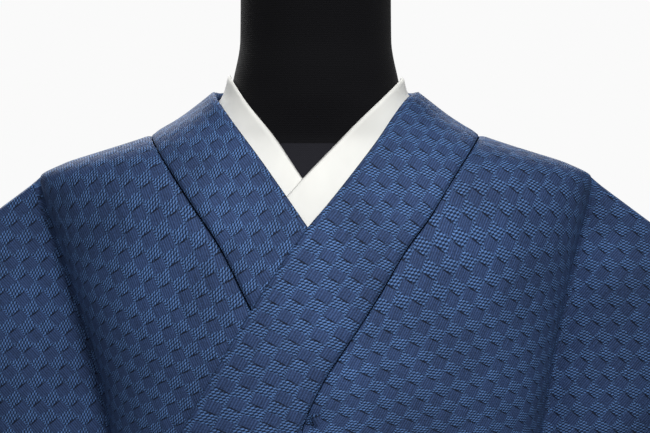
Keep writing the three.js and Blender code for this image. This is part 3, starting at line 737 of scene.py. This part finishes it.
def hang_undercollar():
    half = 0.9

    def surface(share, t):
        left = t < 0.5
        run = np.where(left, 1 - 2 * t, 2 * t - 1)
        near, far = under_rows(1, run, share), under_rows(-1, run, share)
        return [np.where(left, sign * a, b) for sign, a, b in zip((1, 1, 1), near, (-far[0], far[1], far[2]))]

    def softened(share, t):
        steps = ((-1, 1), (-0.5, 2), (0, 3), (0.5, 2), (1, 1))
        reach = 0.012 * clamp(np.minimum(t, 1 - t) / 0.03)
        parts = [[w * c for c in surface(share, clamp(t + a * reach))] for a, w in steps]
        return [sum(values) / 9 for values in zip(*parts)]

    def drape(s, t):
        share, out = folded(s, 42.0, half)
        x, y, d = softened(share, t)
        eps = 0.004
        ax, ay, ad = softened(share + eps, t)
        bx, by, bd = softened(share, clamp(t + eps * (t < 0.5) - eps * (t >= 0.5)))
        across = np.stack([ax - x, ay - y, d - ad], axis=-1)
        along = np.stack([bx - x, by - y, d - bd], axis=-1)
        normal = np.cross(along, across) * np.where(t < 0.5, 1, -1)[..., None]
        normal /= np.maximum(np.linalg.norm(normal, axis=-1, keepdims=True), 1e-9)
        return x + normal[..., 0] * out, y + normal[..., 1] * out, height(d) + normal[..., 2] * out

    def pattern(s, t, x, y, d):
        share, out = folded(s, 42.0, half)
        middle = x.shape[1] // 4
        step = np.sqrt(np.diff(x[:, middle]) ** 2 + np.diff(y[:, middle]) ** 2 + np.diff(d[:, middle]) ** 2)
        run = np.concatenate([[0], np.cumsum(step)])[:, None] + 0 * s
        return np.where(out > 0, share, 2 - share) * 42, run

    return drape, pattern


# ---- sleeves ----
def sleeve_point(w, v, back):
    """A sleeve's front or back: w from the armhole to the cuff, v down from the fold along its top."""
    t = v / SLEEVE_DROP
    ex, _, ed = side_edge(np.minimum(v, ARMHOLE), back)
    below = clamp((v - ARMHOLE) / (SLEEVE_DROP - ARMHOLE))
    inner = (mix(ex, SLEEVE_INNER_FOOT[0], below), mix(ed, SLEEVE_INNER_FOOT[1], below))
    bow = 4 * w * (1 - w)
    ends = list(zip(ARMHOLE_TOP, CUFF_TOP, SLEEVE_INNER_FOOT, CUFF_FOOT, (22, -16), (0, 12), inner))
    flat = []
    for top_in, top_out, foot_in, foot_out, top_bow, foot_bow, edge in ends:
        top = mix(top_in, top_out, w) + top_bow * bow
        foot = mix(foot_in, foot_out, w) + foot_bow * bow
        cuff = mix(top_out, foot_out, t)
        corners = mix(mix(top_in, top_out, w), mix(foot_in, foot_out, w), t)
        flat.append(mix(edge, cuff, w) + mix(top, foot, t) - corners)
    full = mix(ARMHOLE_INSET, 20, smooth(w * 2.2)) * rounded(v / 16)
    pinch = np.sqrt(1 - clamp(v / CUFF_OPENING) ** 5)
    at_cuff = mix(1, pinch, smooth(w * 4 - 3))
    space = np.maximum(rounded(v / 3), full * smooth((SLEEVE_DROP - v) / 40) * at_cuff)
    held = smooth(w * 2.5) * smooth((1 - w) * 4) * smooth(t * 2.2)
    fold = 5 * np.sin(np.pi * (2.6 * w + 0.35 * t)) * held
    return flat[0], np.where(back, 1, -1) * space + fold, flat[1]


def hang_sleeve(side):
    def drape(s, t):
        w = crowd(s, (0, 1), 0.03, 4)
        v = (crowd(t, (0, 0.5, 1), 0.02, 5) - 0.5) * 2 * SLEEVE_DROP
        back, down = v > 0, np.abs(v)

        def point(a, b):
            return sleeve_point(a, clamp(b / SLEEVE_DROP) * SLEEVE_DROP, back)

        edge = clamp(w / 0.1)
        reach_v = np.minimum(16, np.minimum(down * 0.35, (SLEEVE_DROP - down) * 0.8)) * edge
        x, y, d = averaged(point, w, down, 0.03 * edge * clamp((1 - w) / 0.1), reach_v)
        x, d = x + 0.45, d - 0.2
        long_fold = np.sin(8.5 * w + 1.5 * side + down / 260) + 0.5 * np.sin(15 * w - down / 170 + side)
        held = smooth(w * 4) * smooth(down / 160)
        y = y + 3.2 * long_fold * held * (0.4 + 0.6 * smooth(down / 400))
        x, z = side * x, height(d)
        normal = outward(x, y, z, side < 0)
        from_cuff = (1 - w) * SLEEVE_WIDTH
        rise = -0.9 * np.exp(-((w * SLEEVE_WIDTH / 2.5) ** 2)) * (down < ARMHOLE)
        rise = rise + 0.4 * smooth((12 - from_cuff) / 1.5)
        return x + normal[..., 0] * rise, y + normal[..., 1] * rise, z + normal[..., 2] * rise

    def pattern(s, t, x, y, d):
        down = distance_down(y, d) - d[len(d) // 2]
        return side * crowd(s, (0, 1), 0.03, 4) * SLEEVE_WIDTH, np.where(t > 0.5, -down, down)

    return drape, pattern


# ---- materials ----
def add(tree, kind, *values, named=None, **settings):
    """Adds a shader node. Its inputs in use are given in order, or by name: a number, a socket or a node."""
    node = tree.nodes.new("ShaderNode" + kind)
    for key, value in settings.items():
        setattr(node, key, value)
    in_use = [socket for socket in node.inputs if socket.enabled]
    pairs = [*zip(in_use, values), *((node.inputs[key], value) for key, value in (named or {}).items())]
    for socket, value in pairs:
        if isinstance(value, bpy.types.Node):
            value = next(output for output in value.outputs if output.enabled)
        if isinstance(value, bpy.types.NodeSocket):
            tree.links.new(value, socket)
        elif value is not None:
            socket.default_value = value
    return node


def new_material(name):
    material = bpy.data.materials.new(name)
    material.use_nodes = True
    material.node_tree.nodes.clear()
    return material, material.node_tree


def surface(tree, **inputs):
    """Ends a material with one surface shader."""
    named = {key.replace("_", " "): value for key, value in inputs.items()}
    shader = add(tree, "BsdfPrincipled", named=named)
    add(tree, "OutputMaterial", named={"Surface": shader})


def waves(tree, along, pitch, shift=0.0):
    """A sine from -1 to 1 that repeats every pitch metres."""
    turns = add(tree, "Math", along, 2 * math.pi / pitch, shift, operation="MULTIPLY_ADD")
    return add(tree, "Math", turns, operation="SINE")


def rgba(colour):
    return (*colour, 1.0)


def make_indigo():
    """Cotton woven in a check of two structures: raised blocks of light weft floats, and flat darker blocks.

    The real floats are taken to be about 0.4 mm apart. They are drawn 1.1 mm apart, so that they can be seen.
    """
    look, size = colours(), sizes()
    material, tree = new_material("checked_dobby_weave_cotton")
    cloth = add(tree, "UVMap", uv_map="cloth")
    wobble = add(tree, "TexNoise", named={"Vector": cloth, "Scale": 45.0, "Detail": 2.0})
    centred = add(tree, "VectorMath", wobble.outputs["Color"], (0.5, 0.5, 0.5), operation="SUBTRACT")
    drawn = add(tree, "VectorMath", centred, (0.0014, 0.0014, 0), cloth, operation="MULTIPLY_ADD")
    axes = add(tree, "SeparateXYZ", drawn)
    u, v = axes.outputs["X"], axes.outputs["Y"]

    # The check: the sign of two crossed waves. The light blocks are the larger, and meet at their corners.
    across = waves(tree, u, 2 * size.check_width)
    down = waves(tree, v, 2 * size.check_length)
    crossed = add(tree, "Math", across, down, operation="MULTIPLY")
    light = add(tree, "Math", crossed, 7.0, 0.85, operation="MULTIPLY_ADD", use_clamp=True)

    # Light blocks: slanting rows of short bright dashes, each row half a dash on from the last.
    rows = waves(tree, add(tree, "Math", u, v, operation="ADD"), 0.0022 * math.sqrt(2))
    steps = waves(tree, add(tree, "Math", u, v, operation="SUBTRACT"), 0.0043 * math.sqrt(2))
    dash = add(tree, "Math", rows, steps, operation="MULTIPLY")
    dash = add(tree, "MapRange", dash, -0.25, 0.55, 0.0, 1.0, clamp=True)
    # Dark blocks: fine faint lines along the warp.
    twill = add(tree, "Math", waves(tree, u, 0.0016), 0.5, 0.5, operation="MULTIPLY_ADD")

    # Threads differ a little in dye, each along its own length, and the cloth is uneven over a hand's width.
    long_threads = add(tree, "VectorMath", drawn, (900, 30, 0), operation="MULTIPLY")
    thread = add(tree, "TexNoise", named={"Vector": long_threads, "Scale": 1.0, "Detail": 1.0})
    uneven = add(tree, "TexNoise", named={"Vector": cloth, "Scale": 14.0, "Detail": 3.0})
    grain = add(tree, "TexNoise", named={"Vector": cloth, "Scale": 750.0, "Detail": 2.0})
    shade = add(tree, "Math", thread.outputs["Fac"], uneven.outputs["Fac"], operation="ADD")
    shade = add(tree, "Math", grain.outputs["Fac"], 1.4, shade, operation="MULTIPLY_ADD")
    shade = add(tree, "MapRange", shade, 1.2, 2.2, 0.52, 1.48, clamp=True)

    bright = add(tree, "Mix", dash, rgba(look.indigo_ground), rgba(look.indigo_light), data_type="RGBA")
    deep = add(tree, "Mix", twill, rgba(look.indigo_deep), rgba(look.indigo_middle), data_type="RGBA")
    woven = add(tree, "Mix", light, deep, bright, data_type="RGBA")

    # Down one warp edge of each light block runs a dotted column. Where a light block ends, the flat block
    # under it starts dark: painted shadow, as if the puffed light block shaded it.
    by_side = add(tree, "Math", add(tree, "Math", across, operation="ABSOLUTE"), 0.17, operation="LESS_THAN")
    side_turn = waves(tree, u, 2 * size.check_width, math.pi / 2)
    left_edge = add(tree, "Math", add(tree, "Math", side_turn, down, operation="MULTIPLY"), 0.5, 0.6,
                    operation="MULTIPLY_ADD", use_clamp=True)
    by_side = add(tree, "Math", by_side, left_edge, operation="MULTIPLY")
    dots = add(tree, "Math", waves(tree, v, 0.0017), 2.0, 0.5, operation="MULTIPLY_ADD", use_clamp=True)
    # The dark of the gaps between the dots, also the colour of the painted shadow line below.
    hole_and_shadow = tuple(c * 0.35 for c in look.indigo_ground)
    dotted = add(tree, "Mix", dots, rgba(hole_and_shadow), rgba(look.indigo_light), data_type="RGBA")
    by_side = add(tree, "Math", by_side, 0.8, operation="MULTIPLY")
    woven = add(tree, "Mix", by_side, woven, dotted, data_type="RGBA")
    # Painted shadow: a dark line at the lower end of each light block, on the flat block just below it.
    by_end = add(tree, "Math", add(tree, "Math", down, operation="ABSOLUTE"), 0.2, operation="LESS_THAN")
    end_turn = waves(tree, v, 2 * size.check_length, math.pi / 2)
    lower_edge = add(tree, "Math", add(tree, "Math", across, end_turn, operation="MULTIPLY"), -0.8, 0.15,
                     operation="MULTIPLY_ADD", use_clamp=True)
    painted_shadow_line = add(tree, "Math", by_end, lower_edge, operation="MULTIPLY")
    woven = add(tree, "Mix", painted_shadow_line, woven, rgba(hole_and_shadow), data_type="RGBA")
    tint = add(tree, "Mix", 1.0, woven, shade, data_type="RGBA", blend_type="MULTIPLY")

    # The light blocks puff up between the block edges, and the threads stand proud of the ground.
    puff = add(tree, "Math", add(tree, "Math", crossed, operation="ABSOLUTE"), 0.5, operation="POWER")
    raised = add(tree, "Math", light, 0.5, 0.5, operation="MULTIPLY_ADD")
    puff = add(tree, "Math", puff, raised, operation="MULTIPLY")
    relief = add(tree, "Math", dash, 0.22, puff, operation="MULTIPLY_ADD")
    relief = add(tree, "Math", twill, 0.10, relief, operation="MULTIPLY_ADD")
    bump = add(tree, "Bump", named={"Height": relief, "Strength": 1.0, "Distance": 0.0004})
    rough = add(tree, "MapRange", dash, 0.0, 1.0, 0.86, 0.72)
    surface(tree, Base_Color=tint, Roughness=rough, Normal=bump, Sheen_Weight=0.1, Sheen_Roughness=0.45,
            Sheen_Tint=rgba(look.indigo_light), Specular_IOR_Level=0.25)
    return material


def make_white():
    """Smooth plain-woven cotton. Its threads are finer than 0.2 mm, so the weave is drawn 0.9 mm apart."""
    material, tree = new_material("plain_weave_white_cotton")
    cloth = add(tree, "UVMap", uv_map="cloth")
    axes = add(tree, "SeparateXYZ", cloth)
    weft = waves(tree, axes.outputs["X"], 0.0009)
    warp = waves(tree, axes.outputs["Y"], 0.0009)
    weave = add(tree, "Math", weft, warp, operation="MULTIPLY")
    creases = add(tree, "TexNoise", named={"Vector": cloth, "Scale": 30.0, "Detail": 2.0})
    # Painted shade: where the crease noise is low, in the hollows that the same noise gives the bump, the
    # white is painted up to 6% darker.
    shade = add(tree, "MapRange", creases.outputs["Fac"], 0.3, 0.7, 0.0, 1.0)
    white = colours().white
    painted_crease_shade = tuple(c * 0.94 for c in white)
    tint = add(tree, "Mix", shade, rgba(painted_crease_shade), rgba(white), data_type="RGBA")
    relief = add(tree, "Math", weave, 0.03, creases.outputs["Fac"], operation="MULTIPLY_ADD")
    bump = add(tree, "Bump", named={"Height": relief, "Strength": 0.6, "Distance": 0.0012})
    surface(tree, Base_Color=tint, Roughness=0.85, Normal=bump, Sheen_Weight=0.1, Specular_IOR_Level=0.25)
    return material


def make_jersey():
    """Black weft-knitted jersey pulled smooth over the form. Its loops are 0.6 mm, drawn 1.6 mm apart."""
    material, tree = new_material("knitted_black_jersey")
    place = add(tree, "TexCoord").outputs["Object"]
    axes = add(tree, "SeparateXYZ", place)
    rib = waves(tree, axes.outputs["X"], 0.0016)
    row = add(tree, "Math", rib, 0.0003, axes.outputs["Z"], operation="MULTIPLY_ADD")
    loops = waves(tree, row, 0.0016)
    pile = add(tree, "TexNoise", named={"Vector": place, "Scale": 900.0, "Detail": 2.0})
    worn = add(tree, "TexNoise", named={"Vector": place, "Scale": 9.0, "Detail": 3.0})
    black = colours().black
    pale = tuple(c * 1.8 for c in black)
    tint = add(tree, "Mix", worn.outputs["Fac"], rgba(black), rgba(pale), data_type="RGBA")
    # Below the neck seam the cover is painted five times lighter: painted light for the shoulders, which face
    # up and catch more of the lamps. The black neck and the lighter shoulders meet in the neck seam.
    seam = height(NECK_SEAM_DEPTH) / 1000
    # The mask of the painted light: 1 below the neck seam, 0 above it.
    shoulders = add(tree, "MapRange", axes.outputs["Z"], seam - 0.0007, seam - 0.0004, 1.0, 0.0)
    tint = add(tree, "Mix", shoulders, tint, rgba(tuple(c * 5 for c in black)), data_type="RGBA")
    relief = add(tree, "Math", loops, 0.3, pile.outputs["Fac"], operation="MULTIPLY_ADD")
    bump = add(tree, "Bump", named={"Height": relief, "Strength": 0.5, "Distance": 0.0004})
    surface(tree, Base_Color=tint, Roughness=0.85, Normal=bump, Sheen_Weight=0.03, Sheen_Roughness=0.5,
            Specular_IOR_Level=0.12)
    return material


def make_steel():
    """Steel with a fine black powder coat, a little rubbed."""
    material, tree = new_material("powder_coated_black_steel")
    place = add(tree, "TexCoord").outputs["Object"]
    grain = add(tree, "TexNoise", named={"Vector": place, "Scale": 1400.0, "Detail": 2.0})
    rubbed = add(tree, "TexNoise", named={"Vector": place, "Scale": 22.0, "Detail": 4.0})
    black = colours().steel
    worn = tuple(c * 1.6 for c in black)
    tint = add(tree, "Mix", rubbed.outputs["Fac"], rgba(black), rgba(worn), data_type="RGBA")
    rough = add(tree, "MapRange", rubbed.outputs["Fac"], 0.3, 0.7, 0.38, 0.52)
    bump = add(tree, "Bump", named={"Height": grain.outputs["Fac"], "Strength": 0.35, "Distance": 0.0002})
    surface(tree, Base_Color=tint, Roughness=rough, Normal=bump, Specular_IOR_Level=0.45)
    return material


def make_floor():
    """Smooth pale studio paper."""
    material, tree = new_material("matt_studio_paper")
    place = add(tree, "TexCoord").outputs["Object"]
    fibre = add(tree, "TexNoise", named={"Vector": place, "Scale": 300.0, "Detail": 2.0})
    pulp, bleached = rgba(linear("f4f4f3")), rgba(linear("f8f8f7"))
    tint = add(tree, "Mix", fibre.outputs["Fac"], pulp, bleached, data_type="RGBA")
    # What the camera sees of the paper is topped up to an even white, which lights nothing else.
    seen = add(tree, "LightPath").outputs["Is Camera Ray"]
    glow = add(tree, "Math", seen, 0.38, operation="MULTIPLY")
    surface(tree, Base_Color=tint, Roughness=0.9, Specular_IOR_Level=0.2, Emission_Color=tint,
            Emission_Strength=glow)
    return material


MAKERS = {
    "checked_dobby_weave_cotton": make_indigo,
    "plain_weave_white_cotton": make_white,
    "knitted_black_jersey": make_jersey,
    "powder_coated_black_steel": make_steel,
    "matt_studio_paper": make_floor,
}


def finish_of(name):
    return bpy.data.materials.get(name) or MAKERS[name]()


def dress(piece, material, nodes):
    """Gives a new piece its finish and its place in the frame."""
    piece.data.materials.append(finish_of(material))
    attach(piece, "root")
    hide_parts(*nodes)


# ---- the settings ----
class KimonoSizes(bpy.types.PropertyGroup):
    """Sizes that the pieces are made with."""

    shoulder_height: FloatProperty(
        name="Shoulder height", description="Height of the shoulder point above the floor", default=1.4,
        min=0.5, max=2.0, subtype="DISTANCE", unit="LENGTH",
    )
    cloth_wall: FloatProperty(
        name="Cloth thickness", description="Thickness of the kimono's cotton", default=0.0009,
        min=0.0002, max=0.0014, precision=4, subtype="DISTANCE", unit="LENGTH",
    )
    collar_wall: FloatProperty(
        name="Collar thickness", description="Thickness of the folded collar over all its layers",
        default=0.003, min=0.001, max=0.004, precision=4, subtype="DISTANCE", unit="LENGTH",
    )
    check_width: FloatProperty(
        name="Check width", description="Width of one block of the check, along the weft", default=0.0105,
        min=0.004, max=0.05, precision=4, subtype="DISTANCE", unit="LENGTH",
    )
    check_length: FloatProperty(
        name="Check length", description="Length of one block of the check, along the warp", default=0.0084,
        min=0.004, max=0.05, precision=4, subtype="DISTANCE", unit="LENGTH",
    )


def colour_property(name, description, code):
    return FloatVectorProperty(
        name=name, description=description, default=linear(code), size=3, min=0, max=1, subtype="COLOR",
    )


class KimonoColours(bpy.types.PropertyGroup):
    """Colours of the threads and of the stand."""

    indigo_light: colour_property("Light thread", "The bright weft floats of the light blocks", "577cb4")
    indigo_ground: colour_property("Ground thread", "The dark ground between the floats", "182540")
    indigo_middle: colour_property("Middle thread", "The lighter thread of the dark blocks", "3a517c")
    indigo_deep: colour_property("Deep thread", "The darker thread of the dark blocks", "26375a")
    white: colour_property("White cotton", "The collar of the underdress", "f6f6f1")
    black: colour_property("Black jersey", "The form's knitted cover", "0a0a0d")
    steel: colour_property("Black steel", "The pole and the base", "141416")


# ---- the pieces ----
def body_sheet(side):
    name = "left" if side > 0 else "right"
    drape, pattern = hang_body(side)
    piece = cloth_piece(f"body_cloth_{name}", 110, 300, drape, pattern, split=TORSO_SHARE)
    wall(piece, sizes().cloth_wall)
    dress(piece, "checked_dobby_weave_cotton", [f"body_{name}"])


def overlap_sheet(side):
    name = "left" if side > 0 else "right"
    drape, pattern = hang_overlap(side)
    piece = cloth_piece(f"overlap_cloth_{name}", 34, 240, drape, pattern)
    wall(piece, sizes().cloth_wall)
    dress(piece, "checked_dobby_weave_cotton", [f"overlap_{name}"])


def collar_band():
    drape, pattern = hang_collar()
    piece = cloth_piece("collar_cloth", 44, 380, drape, pattern)
    wall(piece, 0.0006, -1.0)
    dress(piece, "checked_dobby_weave_cotton", ["collar"])


def undercollar_band():
    drape, pattern = hang_undercollar()
    piece = cloth_piece("undercollar_cloth", 40, 240, drape, pattern)
    wall(piece, 0.0005, -1.0)
    dress(piece, "plain_weave_white_cotton", ["undercollar"])


def sleeve_sheet(side):
    name = "left" if side > 0 else "right"
    drape, pattern = hang_sleeve(side)
    piece = cloth_piece(f"sleeve_cloth_{name}", 90, 220, drape, pattern)
    wall(piece, sizes().cloth_wall)
    dress(piece, "checked_dobby_weave_cotton", [f"sleeve_{name}"])


FORM_TOP, FORM_FOOT, CAP_SHARE = -122.0, 640.0, 0.05


def sew_neck_seam(bm):
    """Small stitches of thread that lie in the seam round the foot of the form's neck."""
    around = np.linspace(-math.pi, math.pi, NECK_STITCHES, endpoint=False)
    ring = [FORM[key](NECK_SEAM_DEPTH) - 0.3 for key in ("half", "front", "back")]
    x, y = on_ring(*ring, around)
    for here, nearby in zip(zip(x, y), zip(np.roll(x, -1), np.roll(y, -1))):
        across, forward = nearby[0] - here[0], nearby[1] - here[1]
        length = 0.55 * math.hypot(across, forward)
        place = Matrix.Translation((here[0] / 1000, here[1] / 1000, height(NECK_SEAM_DEPTH) / 1000))
        turn = Matrix.Rotation(math.atan2(forward, across), 4, "Z")
        size = Matrix.Diagonal((length / 1000, 0.0009, 0.0007, 1))
        bmesh.ops.create_cube(bm, size=1.0, matrix=place @ turn @ size)


def dress_form():
    """A ball drawn out into a neck, shoulders and trunk, its two poles the middles of the flat ends."""
    bm = bmesh.new()
    bmesh.ops.create_uvsphere(bm, u_segments=144, v_segments=190, radius=1.0)
    at = np.array([v.co[:] for v in bm.verts])
    t = np.arccos(np.clip(at[:, 2], -1, 1)) / math.pi
    angle = np.arctan2(at[:, 0], -at[:, 1])
    d = mix(FORM_TOP, FORM_FOOT, clamp((t - CAP_SHARE) / (1 - 2 * CAP_SHARE)))
    to_end = np.minimum(t, 1 - t) / CAP_SHARE
    shrink = clamp(to_end)
    crown = 2.5 * (1 - clamp(to_end) ** 2) * np.where(t < 0.5, 1, 0)
    x, y = on_ring(*(FORM[key](d) for key in ("half", "front", "back")), angle)
    seam = 0.5 * np.exp(-(((d - NECK_SEAM_DEPTH) / 1.3) ** 2))
    keep = shrink * (1 - seam / np.maximum(np.hypot(x, y), 20))
    x, y, z = x * keep, y * keep, height(d - crown)
    for vertex, place in zip(bm.verts, np.stack([x, y, z], axis=-1) * 0.001):
        vertex.co = place
    bmesh.ops.recalc_face_normals(bm, faces=bm.faces)
    sew_neck_seam(bm)
    for face in bm.faces:
        face.smooth = True
    mesh = bpy.data.meshes.new("form_cover")
    bm.to_mesh(mesh)
    bm.free()
    piece = bpy.data.objects.new("form_cover", mesh)
    bpy.context.scene.collection.objects.link(piece)
    dress(piece, "knitted_black_jersey", ["form_torso"])


def stand_finish():
    for name in ("stand_pole", "stand_base"):
        node = bpy.data.objects[name]
        steel = finish_of("powder_coated_black_steel")
        for slot in node.material_slots:
            slot.material = steel


def lamp_at(light, place, aim):
    lamp = bpy.data.objects.new(light.name, light)
    lamp.location = place
    lamp.rotation_euler = (Vector(aim) - Vector(place)).to_track_quat("-Z", "Y").to_euler()
    bpy.context.scene.collection.objects.link(lamp)


def area_light(name, place, aim, size, power):
    light = bpy.data.lights.new(name, "AREA")
    light.shape = "RECTANGLE"
    light.size, light.size_y = size
    light.energy = power
    lamp_at(light, place, aim)


def spot_light(name, place, aim, cone, power):
    """A soft round light that fades from its middle out, its cone in degrees."""
    light = bpy.data.lights.new(name, "SPOT")
    light.spot_size = math.radians(cone)
    light.spot_blend = 1.0
    light.shadow_soft_size = 0.25
    light.energy = power
    lamp_at(light, place, aim)


def stage():
    scene = bpy.context.scene
    camera_data = bpy.data.cameras.new("front_camera")
    camera_data.lens = 158
    camera_data.sensor_width = 36
    camera = bpy.data.objects.new("front_camera", camera_data)
    camera.location = (0.00665, -2.06, 1.341)
    camera.rotation_euler = (math.pi / 2, 0, 0)
    scene.collection.objects.link(camera)
    scene.camera = camera
    world = bpy.data.worlds.new("studio")
    world.use_nodes = True
    backdrop = world.node_tree.nodes["Background"]
    backdrop.inputs["Color"].default_value = rgba(linear("fafafa"))
    seen = add(world.node_tree, "LightPath").outputs["Is Camera Ray"]
    # The backdrop is seen at its full white, and fills the shadows with less of it.
    strength = add(world.node_tree, "MapRange", seen, 0.0, 1.0, 0.13, 1.0)
    world.node_tree.links.new(strength.outputs[0], backdrop.inputs["Strength"])
    scene.world = world
    scene.view_settings.view_transform = "Standard"
    bm = bmesh.new()
    bmesh.ops.create_circle(bm, cap_ends=True, segments=96, radius=5.0)
    mesh = bpy.data.meshes.new("studio_floor")
    bm.to_mesh(mesh)
    bm.free()
    floor = bpy.data.objects.new("studio_floor", mesh)
    floor.data.materials.append(finish_of("matt_studio_paper"))
    scene.collection.objects.link(floor)
    area_light("key", (0.45, -1.2, 3.0), (0, 0, 1.2), (2.0, 0.8), 14)
    area_light("back_light", (-0.6, 3.0, 3.0), (0, 0.6, 0.0), (3.0, 1.6), 150)
    spot_light("chest_light", (0.2, -1.5, 2.6), (0.01, -0.1, 1.315), 22.5, 126)


# ---- the operators and the panel ----
class KIMONO_OT_stage(bpy.types.Operator):
    """Set up the camera, the lights and the floor"""

    bl_idname = "kimono.stage"
    bl_label = "Stage"
    bl_options = {"REGISTER", "UNDO"}

    def execute(self, context):
        stage()
        return {"FINISHED"}


class KIMONO_OT_form(bpy.types.Operator):
    """Make the form's cover and finish its pole and base"""

    bl_idname = "kimono.form"
    bl_label = "Form and stand"
    bl_options = {"REGISTER", "UNDO"}

    def execute(self, context):
        dress_form()
        stand_finish()
        return {"FINISHED"}


class KIMONO_OT_body(bpy.types.Operator):
    """Hang the two body panels from the shoulders"""

    bl_idname = "kimono.body"
    bl_label = "Body panels"
    bl_options = {"REGISTER", "UNDO"}

    def execute(self, context):
        body_sheet(1)
        body_sheet(-1)
        return {"FINISHED"}


class KIMONO_OT_overlaps(bpy.types.Operator):
    """Hang the two overlaps, left over right"""

    bl_idname = "kimono.overlaps"
    bl_label = "Overlaps"
    bl_options = {"REGISTER", "UNDO"}

    def execute(self, context):
        overlap_sheet(1)
        overlap_sheet(-1)
        return {"FINISHED"}


class KIMONO_OT_collar(bpy.types.Operator):
    """Lay the folded collar round the neck and down both fronts"""

    bl_idname = "kimono.collar"
    bl_label = "Collar"
    bl_options = {"REGISTER", "UNDO"}

    def execute(self, context):
        collar_band()
        return {"FINISHED"}


class KIMONO_OT_undercollar(bpy.types.Operator):
    """Lay the white collar inside the kimono's"""

    bl_idname = "kimono.undercollar"
    bl_label = "White collar"
    bl_options = {"REGISTER", "UNDO"}

    def execute(self, context):
        undercollar_band()
        return {"FINISHED"}


class KIMONO_OT_sleeves(bpy.types.Operator):
    """Hang the two sleeves from their armholes"""

    bl_idname = "kimono.sleeves"
    bl_label = "Sleeves"
    bl_options = {"REGISTER", "UNDO"}

    def execute(self, context):
        sleeve_sheet(1)
        sleeve_sheet(-1)
        return {"FINISHED"}


OPERATORS = (
    KIMONO_OT_stage,
    KIMONO_OT_form,
    KIMONO_OT_body,
    KIMONO_OT_overlaps,
    KIMONO_OT_collar,
    KIMONO_OT_undercollar,
    KIMONO_OT_sleeves,
)


class KIMONO_PT_panel(bpy.types.Panel):
    """The kimono's settings and the buttons that make it"""

    bl_idname = "KIMONO_PT_panel"
    bl_label = "Cotton Kimono"
    bl_space_type = "VIEW_3D"
    bl_region_type = "UI"
    bl_category = "Kimono"

    def draw(self, context):
        for settings in (context.scene.kimono_sizes, context.scene.kimono_colours):
            column = self.layout.column(align=True)
            for key in type(settings).__annotations__:
                column.prop(settings, key)
        column = self.layout.column(align=True)
        for operator in OPERATORS:
            column.operator(operator.bl_idname)


CLASSES = (KimonoSizes, KimonoColours, *OPERATORS, KIMONO_PT_panel)


def register():
    for kind in CLASSES:
        bpy.utils.register_class(kind)
    bpy.types.Scene.kimono_sizes = PointerProperty(type=KimonoSizes)
    bpy.types.Scene.kimono_colours = PointerProperty(type=KimonoColours)


def unregister():
    del bpy.types.Scene.kimono_colours
    del bpy.types.Scene.kimono_sizes
    for kind in reversed(CLASSES):
        bpy.utils.unregister_class(kind)


def main():
    register()
    bpy.ops.kimono.stage()
    bpy.ops.kimono.form()
    bpy.ops.kimono.body()
    bpy.ops.kimono.overlaps()
    bpy.ops.kimono.collar()
    bpy.ops.kimono.undercollar()
    bpy.ops.kimono.sleeves()


if __name__ == "__main__":
    main()
